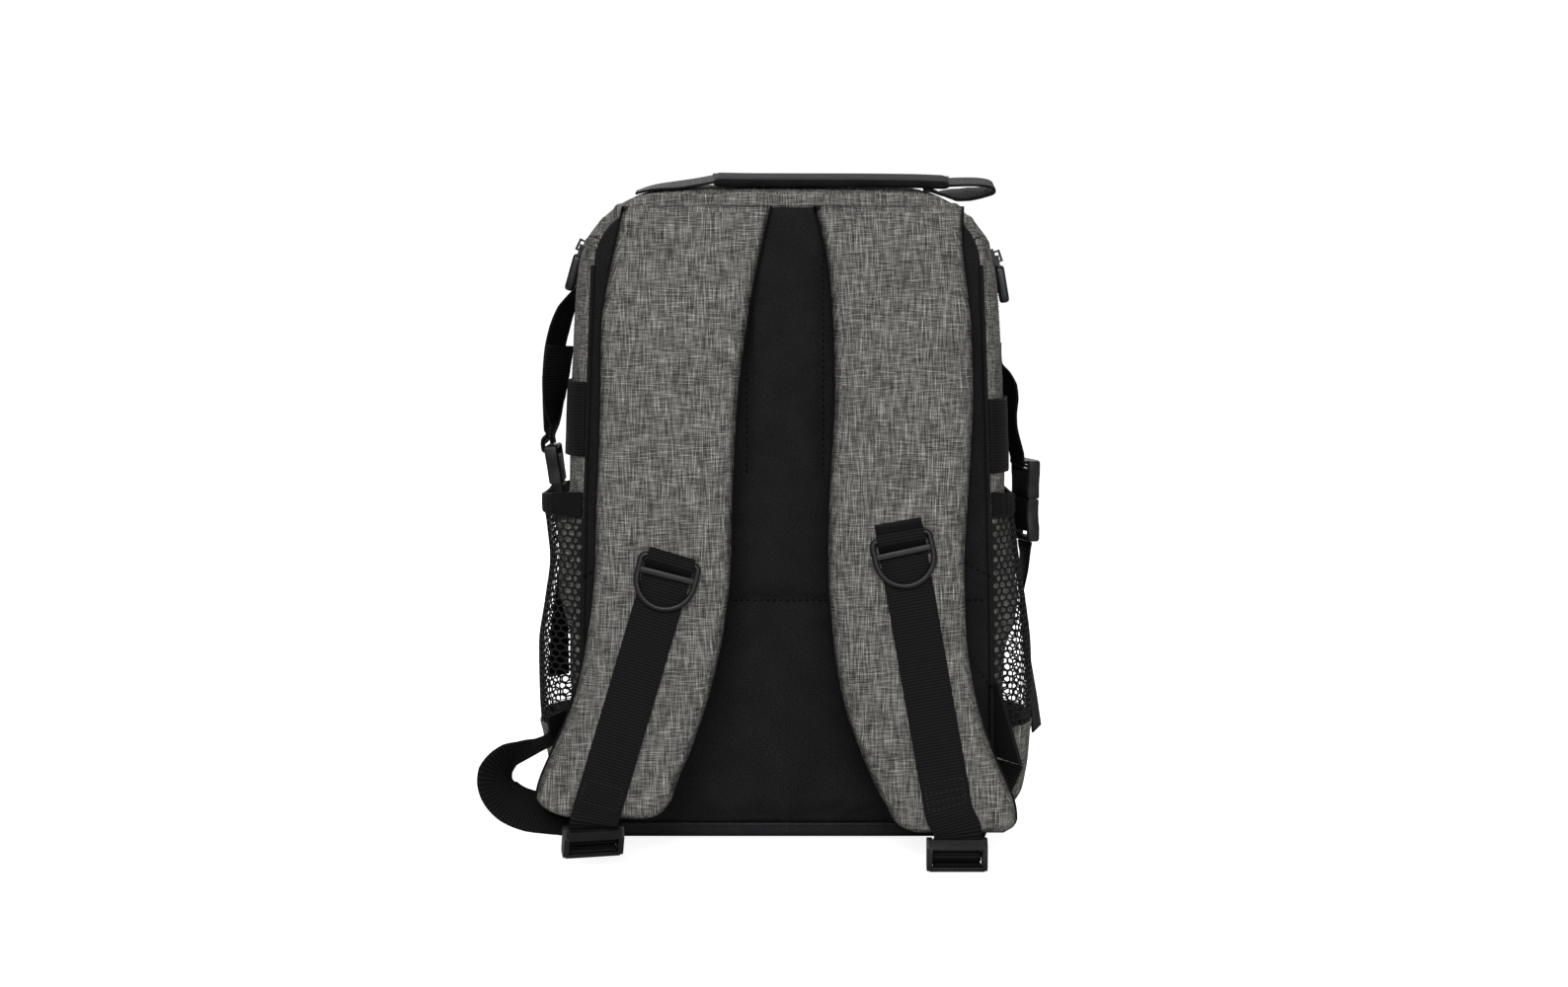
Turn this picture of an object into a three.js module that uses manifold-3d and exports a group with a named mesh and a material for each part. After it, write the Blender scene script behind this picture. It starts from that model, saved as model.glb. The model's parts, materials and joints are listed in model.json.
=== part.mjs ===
// Camera backpack in grey melange cloth with black trim, standing on its base.
// Sizes are millimetres. +Z is up, +Y runs from the harness to the front of the bag.
// The origin is the middle of the base, on the floor. Right is +X, seen from the harness side.

import * as THREE from "three";
import { mergeVertices } from "three/addons/utils/BufferGeometryUtils.js";
import Module from "manifold-3d";

const wasm = await Module();
wasm.setup();

// Driving sizes
const SEAM_Y = -80; // plane of the seam round the back panel
const WALL = 5; // padded cloth wall
const GAP = 0.35; // clearance where pieces are sewn or laid together
const HARNESS_WEB = { width: 30, thick: 1.6 };
const SIDE_WEB = { width: 25, thick: 1.5 };
const HANDLE_WEB = { width: 24, thick: 1.6 };
const LINING = { thick: 2.2, overhang: 1.6 };
const STRAP_PAD = { thick: 10.5, sewnThick: 4, fullBelow: 382, sewnAt: 414 };
const PANEL = { rim: 3, pad: 5.5, groove: 3.2, rise: 18, topRise: 50, inset: 1 };
const FRONT = { depth: 128, bulge: 36 };
const ZIP = { from: 46, to: 56, recess: 0.9, thick: 2.2 };
const BAND = { thick: 1.5, height: 48 };
const POCKET = { back: 8, front: 118, net: 1.6, netTop: 214, netFoot: 75, foot: 13 };
const D_RING = { half: 20.5, height: 34.5, rod: 3.2, barFoot: 3.8, barHead: 7.8, topBar: 3.5, thick: 3 };
const LOCK = { half: 18.8, cheek: 3.3, up: 10.2, out: 5 };
const BUCKLE = { half: 16.5, thick: 9, clip: 26, socket: 29, slot: 4 };

// Sections of the body from the back seam to the front seam. Each is a rounded outline with tapering sides.
const SECTIONS = [
  { depth: 0, lower: 134, upper: 124, bow: 1.5, floor: 13, roof: 414.5, crown: 0.5, lowArc: 26, topArc: 38 },
  { depth: 7, lower: 139, upper: 131, bow: 2.5, floor: 4.5, roof: 420.5, crown: 1, lowArc: 28, topArc: 46 },
  { depth: 20, lower: 142, upper: 137, bow: 4, floor: 0, roof: 426, crown: 1.5, lowArc: 30, topArc: 60 },
  { depth: 46, lower: 143, upper: 140, bow: 5, floor: 0, roof: 429, crown: 2, lowArc: 30, topArc: 70 },
  { depth: 56, lower: 143, upper: 140, bow: 5, floor: 0, roof: 428.5, crown: 2, lowArc: 30, topArc: 70 },
  { depth: 75, lower: 143, upper: 139.5, bow: 5, floor: 0, roof: 427, crown: 2, lowArc: 30, topArc: 70 },
  { depth: 104, lower: 142, upper: 138, bow: 4.5, floor: 0, roof: 423, crown: 2, lowArc: 30, topArc: 68 },
  { depth: 128, lower: 140, upper: 135, bow: 4, floor: 0, roof: 417, crown: 2, lowArc: 30, topArc: 64 },
];

// Seams between base, sides and top, as places along the outline (see outline)
const LOWER_SEAM = 1.5;
const UPPER_SEAM = 3.3;
const SEAM_STEP = 0.007;

// Shoulder straps, a row for each level. Stand is how far the lining's back is in front of the seam plane.
const STRAP_LEFT = [
  { z: 414, left: -103.5, right: -10.8, stand: 3.6 },
  { z: 398, left: -106.7, right: -14.4, stand: 6.5 },
  { z: 382, left: -110, right: -18, stand: 10 },
  { z: 360, left: -114.2, right: -22.5, stand: 14.5 },
  { z: 338, left: -117, right: -25.8, stand: 19 },
  { z: 295, left: -117.5, right: -31.2, stand: 25 },
  { z: 264, left: -118.2, right: -33.2, stand: 28 },
  { z: 220, left: -120.1, right: -35, stand: 32 },
  { z: 189, left: -120.7, right: -35.6, stand: 35 },
  { z: 145, left: -125.3, right: -40.6, stand: 39 },
  { z: 114, left: -131.3, right: -47.4, stand: 43 },
  { z: 95, left: -137.5, right: -52.8, stand: 45 },
  { z: 71, left: -147.8, right: -61.4, stand: 48.5 },
  { z: 52, left: -155.5, right: -69.6, stand: 51.5 },
  { z: 44, left: -157, right: -72, stand: 53 },
  { z: 38, left: -152.5, right: -76, stand: 54.5 },
  { z: 34, left: -143, right: -80, stand: 55.5 },
  { z: 31, left: -124, right: -88, stand: 56.2 },
];
const STRAP_RIGHT = [
  { z: 414, left: 18, right: 111, stand: 3.6 },
  { z: 398, left: 22, right: 110.4, stand: 6.5 },
  { z: 382, left: 25.3, right: 111.3, stand: 10 },
  { z: 360, left: 27.8, right: 113.8, stand: 14.5 },
  { z: 338, left: 29.3, right: 115.8, stand: 19 },
  { z: 295, left: 30.2, right: 116.8, stand: 25 },
  { z: 264, left: 28.7, right: 115.6, stand: 28 },
  { z: 220, left: 26.3, right: 113, stand: 32 },
  { z: 189, left: 26, right: 111.3, stand: 35 },
  { z: 145, left: 28.8, right: 112.6, stand: 39 },
  { z: 114, left: 33.2, right: 116.7, stand: 43 },
  { z: 95, left: 37.8, right: 121.2, stand: 45 },
  { z: 71, left: 46.8, right: 129, stand: 48.5 },
  { z: 50, left: 56, right: 138.4, stand: 52.5 },
  { z: 38, left: 63, right: 142.4, stand: 55 },
  { z: 31, left: 66.5, right: 143, stand: 56.5 },
  { z: 26, left: 72, right: 141, stand: 57.3 },
  { z: 22.5, left: 82, right: 134, stand: 57.8 },
];

// Where each strap's webbing, ring and ladder lock lie. Ring and end are places on the face of the strap.
const HARNESS = {
  left: { rows: STRAP_LEFT, ringX: -77, ringZ: 177.4, endX: -118.4, endZ: 38 },
  right: { rows: STRAP_RIGHT, ringX: 73.5, ringZ: 191.5, endX: 102.3, endZ: 28 },
};
const LOCK_PLACES = {
  left: { x: -120.9, stand: 70.6, z: 19.6, yaw: 14, pitch: -24 },
  right: { x: 105.6, stand: 72, z: 11.2, yaw: 0, pitch: 0 },
};

// Loose lengths of webbing. Turn and lift aim the width, in degrees: turn from +X to +Y, lift towards +Z.
const LEFT_LOOP = [
  { x: -129.5, stand: 48, z: 22, turn: 30, lift: 6 },
  { x: -138, stand: 41.5, z: 25, turn: 52, lift: 20 },
  { x: -150, stand: 38.5, z: 28, turn: 67, lift: 35 },
  { x: -163, stand: 38, z: 30.5, turn: 71, lift: 43 },
  { x: -175, stand: 37, z: 35, turn: 66, lift: 39 },
  { x: -183, stand: 34.5, z: 42.5, turn: 58, lift: 28 },
  { x: -185.5, stand: 30, z: 52, turn: 52, lift: 14 },
  { x: -179.5, stand: 23.5, z: 61, turn: 53, lift: -3 },
  { x: -167.5, stand: 17, z: 66, turn: 59, lift: -14 },
  { x: -155, stand: 15, z: 71, turn: 63, lift: -9 },
];
const RIGHT_RUN = [
  { x: 108, stand: 50, z: 12, turn: 0, lift: -4 },
  { x: 114, stand: 37, z: 24, turn: 4, lift: -12 },
  { x: 124, stand: 27, z: 36, turn: -18, lift: -30 },
];

// Side pockets, a row for each level: how far the net stands off the side panel, left and right
const POCKET_ROWS = [
  { z: 232, left: 14.6, right: 2.5 },
  { z: 222, left: 14.6, right: 2.5 },
  { z: 205, left: 12.5, right: 4.5 },
  { z: 184, left: 10.5, right: 7 },
  { z: 157, left: 14, right: 11.5 },
  { z: 124, left: 19, right: 16 },
  { z: 90, left: 19.4, right: 17.5 },
  { z: 75, left: 19, right: 17.5 },
  { z: 50, left: 15.5, right: 17 },
  { z: 28, left: 10.5, right: 13.5 },
  { z: 13, left: 3, right: 4 },
];
const NET_CELLS = { columns: 5, rows: 9, share: 0.8 };

// Compression straps, each row measured from the side panel outwards
const SIDE_STRAP_LEFT = [
  { out: 1.7, y: -5, z: 374, turn: 90 },
  { out: 1.7, y: -5, z: 363, turn: 90 },
  { out: 4.8, y: -5, z: 356, turn: 77 },
  { out: 8.8, y: -5, z: 348, turn: 67 },
  { out: 12.4, y: -5, z: 336, turn: 63 },
  { out: 15, y: -5, z: 322, turn: 64 },
  { out: 16, y: -5, z: 306, turn: 66 },
  { out: 16.6, y: -5, z: 288, turn: 73 },
  { out: 17.2, y: -5, z: 272, turn: 82 },
  { out: 17.5, y: -5, z: 262, turn: 88 },
];
const SIDE_STRAP_RIGHT = [
  { out: 1.5, y: -5, z: 326, turn: 90 },
  { out: 1.5, y: -5, z: 312, turn: 90 },
  { out: 4.6, y: -5, z: 305, turn: 101 },
  { out: 6.8, y: -5, z: 297, turn: 110 },
  { out: 7.4, y: -5, z: 288, turn: 110 },
  { out: 6.8, y: -5, z: 278, turn: 106 },
  { out: 7.4, y: -5, z: 268, turn: 104 },
  { out: 9.8, y: -5, z: 256, turn: 105 },
];
// Entry is the face of the clip where the strap goes in: 1 the outer face, -1 the inner face
const BUCKLE_PLACES = {
  left: { out: 14, y: -7, z: 257, lean: 8, turn: 90, entry: 1 },
  right: { out: 17, y: -5, z: 247, lean: 0, turn: 105, entry: -1 },
};
const SIDE_BAND_FOOT = { left: 254, right: 243 };

// Loose tails. The left strap has one that lies up against the side and one down in the pocket.
const TAIL_LEFT_UP = [
  { x: -156.2, y: -10.5, z: 273, turn: 82, lift: 0 },
  { x: -156.4, y: -15, z: 286, turn: 63, lift: 0 },
  { x: -154.8, y: -19, z: 304, turn: 49, lift: 9 },
  { x: -151.4, y: -21, z: 324, turn: 43, lift: 34 },
];
const TAIL_LEFT_DOWN = [
  { x: -151.5, y: -7, z: 190, turn: 89, lift: 0 },
  { x: -152, y: -8, z: 175, turn: 86, lift: 0 },
  { x: -153.5, y: -11, z: 155, turn: 79, lift: 0 },
  { x: -154.5, y: -15, z: 132, turn: 70, lift: 0 },
  { x: -155, y: -17, z: 100, turn: 64, lift: 0 },
];
const TAIL_RIGHT = [
  { x: 161.8, y: -5, z: 185, turn: 101, lift: 0 },
  { x: 161.8, y: -2, z: 176, turn: 96, lift: 14 },
  { x: 161.6, y: 10, z: 160, turn: 88, lift: 30 },
  { x: 163.5, y: 25, z: 140, turn: 86, lift: 22 },
  { x: 168, y: 32, z: 110, turn: 80, lift: 8 },
  { x: 173, y: 33, z: 76, turn: 73, lift: 2 },
  { x: 176, y: 33, z: 53, turn: 70, lift: 0 },
];

// Carry handle, lying on the top panel and slipped towards the right
const HANDLE = { y: -56, from: -48, to: 105, width: 26, thick: 6, edge: 3, tilt: 13.8 };
const HANDLE_GRIP = [
  { x: -48, z: 432.4 },
  { x: -25, z: 432 },
  { x: 0, z: 431.9 },
  { x: 40, z: 431.8 },
  { x: 80, z: 431.4 },
  { x: 105, z: 430.5 },
];
const HANDLE_LEFT = [
  { x: -48.8, z: 432.3 },
  { x: -58, z: 430.6 },
  { x: -71, z: 428.7 },
];
const HANDLE_RIGHT = [
  { x: 105.4, z: 430.5 },
  { x: 118, z: 430.8 },
  { x: 128, z: 430.2 },
  { x: 133.2, z: 428.4 },
  { x: 133.4, z: 426.2 },
  { x: 129, z: 424.6, tilt: 15.5 },
  { x: 118, z: 423, tilt: 21 },
  { x: 108, z: 422.4, tilt: 19 },
];
const HANDLE_SEWN = { left: [-84, -91, -98], right: [100, 94, 88] };
const ZIP_STOPS = { left: 389, right: 382 };
const ZIP_ENDS = { left: 304, right: 293 };
const SLIDER = { width: 8, length: 12, base: 2.6, bridge: 2.6, post: 1.4, tunnel: 2.7, span: 5.4 };
const PULL = { length: 31, width: 7.5, thick: 1.6, eye: 6, arm: 1.5, bar: 1.6, hole: 3.8 };

// Finishes
const FINISHES = {
  melange: { color: 0x6e6b65, roughness: 0.95, metalness: 0 },
  back_cloth: { color: 0x1d1d1f, roughness: 0.95, metalness: 0 },
  lining: { color: 0x19191b, roughness: 0.9, metalness: 0 },
  webbing: { color: 0x1b1b1d, roughness: 0.75, metalness: 0 },
  plastic: { color: 0x17181a, roughness: 0.4, metalness: 0 },
  net: { color: 0x161618, roughness: 0.8, metalness: 0 },
  sleeve: { color: 0x202022, roughness: 0.5, metalness: 0 },
  zip: { color: 0x151517, roughness: 0.6, metalness: 0 },
  zip_metal: { color: 0x2b2c2e, roughness: 0.35, metalness: 0.8 },
};

const SIDES = [
  { name: "left", sign: -1 },
  { name: "right", sign: 1 },
];
const pack = new THREE.Group();
pack.name = "camera_backpack";

function add(name, geometry, finish) {
  const mesh = new THREE.Mesh(geometry, new THREE.MeshStandardMaterial(FINISHES[finish]));
  mesh.name = name;
  pack.add(mesh);
  return mesh;
}

// Shared shapes

const lerp = THREE.MathUtils.lerp;
const rad = THREE.MathUtils.degToRad;

// Reads one column of a table at a value of its key column, in a straight line between rows
function readTable(rows, key, at, column) {
  const ordered = rows[0][key] < rows[rows.length - 1][key] ? rows : [...rows].reverse();
  const next = ordered.findIndex((row) => row[key] >= at);
  if (next <= 0) {
    return (next === 0 ? ordered[0] : ordered[ordered.length - 1])[column];
  }
  const before = ordered[next - 1];
  const after = ordered[next];
  return lerp(before[column], after[column], (at - before[key]) / (after[key] - before[key]));
}

// Joins matching points and turns the faces outwards
function closed(geometry) {
  const bare = new THREE.BufferGeometry();
  bare.setAttribute("position", geometry.getAttribute("position"));
  bare.setIndex(geometry.getIndex());
  const joined = mergeVertices(bare, 1e-4);
  const points = joined.getAttribute("position");
  const index = joined.getIndex();
  const corner = (i) => new THREE.Vector3().fromBufferAttribute(points, index.getX(i));
  let volume = 0;
  for (let i = 0; i < index.count; i += 3) {
    volume += corner(i).dot(corner(i + 1).cross(corner(i + 2)));
  }
  if (volume < 0) {
    for (let i = 0; i < index.count; i += 3) {
      const swap = index.getX(i);
      index.setX(i, index.getX(i + 1));
      index.setX(i + 1, swap);
    }
  }
  joined.computeVertexNormals();
  return joined;
}

// Splits the back face of a box along the same diagonals as its front, so that a twisted sheet keeps its thickness
function matchDiagonals(geometry) {
  const { start, count } = geometry.groups[5];
  const index = geometry.getIndex();
  for (let i = start; i < start + count; i += 6) {
    index.setX(i + 2, index.getX(i + 4));
    index.setX(i + 3, index.getX(i));
  }
}

// A sheet with thickness: place(u, v, w) puts each grid point, with w 0 on one face and 1 on the other
function slab(stationsU, stationsV, place, twisted = false) {
  const nu = stationsU.length - 1;
  const nv = stationsV.length - 1;
  const geometry = new THREE.BoxGeometry(1, 1, 1, nu, nv, 1);
  if (twisted) {
    matchDiagonals(geometry);
  }
  const points = geometry.getAttribute("position");
  for (let i = 0; i < points.count; i += 1) {
    const u = stationsU[Math.round((points.getX(i) + 0.5) * nu)];
    const v = stationsV[Math.round((points.getY(i) + 0.5) * nv)];
    points.setXYZ(i, ...place(u, v, points.getZ(i) + 0.5));
  }
  return closed(geometry);
}

function steps(from, to, count) {
  return Array.from({ length: count + 1 }, (_, i) => lerp(from, to, i / count));
}

// A ribbon through stations, each with a place and the direction of its width
function ribbon(stations, size) {
  const last = stations.length - 1;
  const at = (i) => stations[Math.min(Math.max(i, 0), last)].at;
  const frames = stations.map((station, i) => {
    const along = at(i + 1).clone().sub(at(i - 1)).normalize();
    const across = station.across.clone().addScaledVector(along, -along.dot(station.across)).normalize();
    return { centre: station.at, across, normal: along.clone().cross(across) };
  });
  const place = (i, v, w) => {
    const frame = frames[i];
    const point = frame.centre.clone().addScaledVector(frame.across, v * size.width);
    return point.addScaledVector(frame.normal, (w - 0.5) * size.thick).toArray();
  };
  return slab([...frames.keys()], [-0.5, 0.5], place, true);
}

function aim(turn, lift) {
  const flat = Math.cos(rad(lift));
  return new THREE.Vector3(flat * Math.cos(rad(turn)), flat * Math.sin(rad(turn)), Math.sin(rad(lift)));
}

// Rounds a run of stations off with a curve through them
function smoothed(stations, perStep) {
  const curve = new THREE.CatmullRomCurve3(stations.map((station) => station.at), false, "centripetal");
  const count = (stations.length - 1) * perStep;
  return steps(0, 1, count).map((t) => {
    const place = t * (stations.length - 1);
    const before = Math.min(Math.floor(place), stations.length - 2);
    const across = stations[before].across.clone().lerp(stations[before + 1].across, place - before);
    return { at: curve.getPoint(t), across: across.normalize() };
  });
}

function looseStations(rows) {
  return rows.map((row) => {
    const y = row.y === undefined ? SEAM_Y - row.stand : row.y;
    return { at: new THREE.Vector3(row.x, y, row.z), across: aim(row.turn, row.lift) };
  });
}

function toManifold(geometry) {
  const joined = closed(geometry);
  const vertProperties = new Float32Array(joined.getAttribute("position").array);
  const triVerts = new Uint32Array(joined.getIndex().array);
  return new wasm.Manifold(new wasm.Mesh({ numProp: 3, vertProperties, triVerts }));
}

function fromManifold(solid) {
  const mesh = solid.getMesh();
  const geometry = new THREE.BufferGeometry();
  geometry.setAttribute("position", new THREE.BufferAttribute(new Float32Array(mesh.vertProperties), 3));
  geometry.setIndex(new THREE.BufferAttribute(new Uint32Array(mesh.triVerts), 1));
  return closed(geometry);
}

function box(width, depth, height, x, y, z) {
  return new THREE.BoxGeometry(width, depth, height).translate(x, y, z);
}

function joinAll(geometries) {
  return geometries.map(toManifold).reduce((whole, piece) => whole.add(piece));
}

// Body outline

function section(depth, inset) {
  const read = (column) => readTable(SECTIONS, "depth", depth, column);
  return {
    lower: read("lower") - inset,
    upper: read("upper") - inset,
    bow: read("bow"),
    floor: read("floor") + inset,
    roof: read("roof") - inset,
    crown: read("crown"),
    lowArc: read("lowArc") - inset,
    topArc: read("topArc") - inset,
  };
}

// Half the width of the body at a depth and a height
function halfWidth(depth, z, inset = 0) {
  const s = section(depth, inset);
  const lowEnd = s.floor + s.lowArc;
  const topEnd = s.roof - s.topArc;
  if (z < lowEnd) {
    return s.lower - s.lowArc + Math.sqrt(Math.max(0, s.lowArc ** 2 - (lowEnd - z) ** 2));
  }
  if (z > topEnd) {
    return s.upper - s.topArc + Math.sqrt(Math.max(0, s.topArc ** 2 - (z - topEnd) ** 2));
  }
  const k = (z - lowEnd) / (topEnd - lowEnd);
  return lerp(s.lower, s.upper, k) + s.bow * 4 * k * (1 - k);
}

// A point of the outline. Place runs 0 middle of the base, 1 to 2 lower corner, 2 to 3 side,
// 3 to 4 upper corner, 5 middle of the top, and is negative on the left.
function outline(depth, place, inset = 0) {
  const s = section(depth, inset);
  const t = Math.abs(place);
  const sign = place < 0 ? -1 : 1;
  const angle = (t % 1) * (Math.PI / 2);
  if (t < 1) {
    return { x: sign * t * (s.lower - s.lowArc), z: s.floor };
  }
  if (t < 2) {
    const x = s.lower - s.lowArc * (1 - Math.sin(angle));
    return { x: sign * x, z: s.floor + s.lowArc * (1 - Math.cos(angle)) };
  }
  if (t < 3) {
    const z = lerp(s.floor + s.lowArc, s.roof - s.topArc, t - 2);
    return { x: sign * halfWidth(depth, z, inset), z };
  }
  if (t < 4) {
    const x = s.upper - s.topArc * (1 - Math.cos(angle));
    return { x: sign * x, z: s.roof - s.topArc * (1 - Math.sin(angle)) };
  }
  const k = t - 4;
  return { x: sign * (s.upper - s.topArc) * (1 - k), z: s.roof + s.crown * (1 - (1 - k) ** 2) };
}

// The place on the upper corner that is at a given height
function placeAtHeight(depth, z) {
  const s = section(depth, 0);
  return 3 + Math.asin((z - s.roof + s.topArc) / s.topArc) / (Math.PI / 2);
}

function shellPoint(place, depth, inset) {
  const point = outline(depth, place, inset);
  return [point.x, SEAM_Y + depth, point.z];
}

const DEPTHS = SECTIONS.map((row) => row.depth);
const BACK_DEPTHS = DEPTHS.filter((depth) => depth < ZIP.from).concat(ZIP.from - GAP);
const LID_DEPTHS = [ZIP.to + GAP].concat(DEPTHS.filter((depth) => depth > ZIP.to));

// Body panels

const TOP_PLACES = [UPPER_SEAM, 3.5, 3.7, 3.85, 4, 4.5, 5, -4.5, -4, -3.85, -3.7, -3.5, -UPPER_SEAM];
const topWall = (place, depth, w) => shellPoint(place, depth, w ? 0 : WALL);
add("top_back_panel", slab(TOP_PLACES, BACK_DEPTHS, topWall), "melange");
add("top_front_panel", slab(TOP_PLACES, LID_DEPTHS, topWall), "melange");

const BASE_PLACES = [-LOWER_SEAM, -1.25, -1, -0.5, 0, 0.5, 1, 1.25, LOWER_SEAM];
const baseWall = (place, depth, w) => shellPoint(place, depth, w ? 0 : WALL);
add("base_panel", slab(BASE_PLACES, DEPTHS, baseWall), "back_cloth");

// The zip runs up one side, over the top and down the other, in a slot between the panels
function zipEnd(name) {
  const s = section(ZIP.from, 0);
  const low = s.floor + s.lowArc;
  return 2 + (ZIP_ENDS[name] - low) / (s.roof - s.topArc - low);
}

const ZIP_PLACES = [zipEnd("right"), 2.9, 3, 3.15, UPPER_SEAM, 3.4, 3.5, 3.7, 3.85, 4, 4.5, 5];
const ZIP_RETURN = [-4.5, -4, -3.85, -3.7, -3.5, -3.4, -UPPER_SEAM, -3.15, -3, -2.9, -zipEnd("left")];
const zipWall = (place, depth, w) => shellPoint(place, depth, ZIP.recess + (w ? 0 : ZIP.thick));
const ZIP_DEPTHS = [ZIP.from, ZIP.to];
add("main_zip", slab([...ZIP_PLACES, ...ZIP_RETURN], ZIP_DEPTHS, zipWall), "zip");

for (const { name, sign } of SIDES) {
  const low = LOWER_SEAM + SEAM_STEP;
  const high = UPPER_SEAM - SEAM_STEP / 2;
  const places = [low, 1.75, 2, 2.2, 2.4, 2.6, 2.8, 3, 3.15, high];
  const wall = slab(places, DEPTHS, (place, depth, w) => shellPoint(sign * place, depth, w ? 0 : WALL));
  const slotPlaces = [zipEnd(name) - SEAM_STEP / 4, 2.9, 3, 3.15, 3.32];
  const slotDepths = [ZIP.from - GAP, ZIP.to + GAP];
  const slot = slab(slotPlaces, slotDepths, (t, d, w) => shellPoint(sign * t, d, w ? -6 : WALL + 6));
  add(`side_panel_${name}`, fromManifold(toManifold(wall).subtract(toManifold(slot))), "melange");
}

// Back panel, a pad in front of the seam with stitched channels
function panelStand(u, z) {
  const half = halfWidth(0, z, PANEL.inset);
  const floor = SECTIONS[0].floor + PANEL.inset;
  const roof = SECTIONS[0].roof - PANEL.inset;
  const edge = Math.min((1 - Math.abs(u)) * half, z - floor) / PANEL.rise;
  const inward = Math.min(edge, (roof - z) / PANEL.topRise);
  const swell = Math.sin((Math.PI / 2) * THREE.MathUtils.clamp(inward, 0, 1));
  const spine = z > 243 && z < 403 && Math.abs(Math.abs(u) - 0.2) < 0.01;
  const waist = Math.abs(z - 161) < 0.5;
  return PANEL.rim + PANEL.pad * swell - (spine || waist ? PANEL.groove * swell : 0);
}

const PANEL_U = [-1, -0.95, -0.86, -0.24, -0.2, -0.16, 0.16, 0.2, 0.24, 0.86, 0.95, 1];
const PANEL_Z = [14, 16, 21, 32, 90, 155, 161, 167, 237, 243, 310, 377, 394, 403, 409, 412, 413.5];
const backPanel = slab(PANEL_U, PANEL_Z, (u, z, w) => {
  const stand = w ? panelStand(u, z) : GAP;
  return [u * halfWidth(0, z, PANEL.inset), SEAM_Y - stand, z];
});
add("back_panel", backPanel, "back_cloth");

// Front panel, a padded dish that closes the front
function frontPoint(u, v, w) {
  const inset = w ? 0.4 : WALL + 0.4;
  const s = section(FRONT.depth, inset);
  const z = (s.floor + s.roof) / 2 + (v * (s.roof - s.floor)) / 2;
  const swell = Math.sqrt(1 - Math.abs(u) ** 5) * Math.sqrt(1 - Math.abs(v) ** 5);
  const bulge = (w ? FRONT.bulge : FRONT.bulge - WALL) * swell;
  return [u * halfWidth(FRONT.depth, z, inset), SEAM_Y + FRONT.depth + GAP + bulge, z];
}

const FRONT_U = [-1, -0.98, -0.92, -0.8, -0.5, 0, 0.5, 0.8, 0.92, 0.98, 1];
const FRONT_V = [-1, -0.985, -0.95, -0.88, -0.6, 0, 0.55, 0.72, 0.85, 0.93, 0.98, 1];
add("front_panel", slab(FRONT_U, FRONT_V, frontPoint, true), "melange");

// Side bands, laid over the side panels
for (const { name, sign } of SIDES) {
  const foot = SIDE_BAND_FOOT[name];
  const depths = [1, ...DEPTHS.slice(1, -1), FRONT.depth - 1];
  const levels = [foot, foot + BAND.height / 2, foot + BAND.height];
  const band = slab(levels, depths, (z, depth, w) => {
    const x = halfWidth(depth, z) + GAP + w * BAND.thick;
    return [sign * x, SEAM_Y + depth, z];
  });
  add(`side_band_${name}`, band, "webbing");
}

// Shoulder straps

function padThick(z) {
  const k = (STRAP_PAD.sewnAt - z) / (STRAP_PAD.sewnAt - STRAP_PAD.fullBelow);
  return lerp(STRAP_PAD.sewnThick, STRAP_PAD.thick, THREE.MathUtils.clamp(k, 0, 1));
}

function strapFace(rows, z) {
  return readTable(rows, "z", z, "stand") + LINING.thick + GAP + padThick(z);
}

const PAD_U = [0, 0.04, 0.13, 0.5, 0.87, 0.96, 1];
const PAD_SHARE = { 0: 0.35, 0.04: 0.78, 0.13: 1, 0.5: 1, 0.87: 1, 0.96: 0.78, 1: 0.35 };

for (const { name } of SIDES) {
  const rows = HARNESS[name].rows;
  const levels = rows.map((row) => row.z);
  const last = levels[levels.length - 1];
  const across = (u, z, extra) => {
    const row = rows.find((each) => each.z === z);
    return lerp(row.left - extra, row.right + extra, u);
  };
  const standAt = (z) => readTable(rows, "z", z, "stand");
  const pad = slab(PAD_U, levels, (u, z, w) => {
    const foot = z === last ? 0.6 : 1;
    const thick = padThick(z) * PAD_SHARE[u] * foot;
    return [across(u, z, 0), SEAM_Y - standAt(z) - LINING.thick - GAP - w * thick, z];
  });
  add(`shoulder_strap_${name}`, pad, "melange");
  const lining = slab([0, 1], levels, (u, z, w) => {
    const drop = z === last ? LINING.overhang / 2 : 0;
    return [across(u, z, LINING.overhang), SEAM_Y - standAt(z) - w * LINING.thick, z - drop];
  });
  add(`strap_lining_${name}`, lining, "lining");
}

// A local frame: local x across, y up, z out of the face
function frame(origin, up, out) {
  const upward = up.clone().normalize();
  const across = upward.clone().cross(out).normalize();
  const outward = across.clone().cross(upward);
  const matrix = new THREE.Matrix4().makeBasis(across, upward, outward).setPosition(origin);
  return { matrix, across, point: (x, y, z) => new THREE.Vector3(x, y, z).applyMatrix4(matrix) };
}

// Webbing, ring and ladder lock of each strap

// The frame of a place on the face of a strap, with up along the webbing
function faceFrame(place, x, z, reach) {
  const run = new THREE.Vector2(place.ringX - place.endX, place.ringZ - place.endZ).normalize();
  const faceAt = (k) => {
    const level = z + k * run.y;
    return new THREE.Vector3(x + k * run.x, SEAM_Y - strapFace(place.rows, level), level);
  };
  const low = faceAt(-reach);
  const high = faceAt(reach);
  const up = high.clone().sub(low);
  const out = new THREE.Vector3(1, 0, 0).cross(up);
  return frame(low.lerp(high, 0.5), up, out);
}

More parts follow.
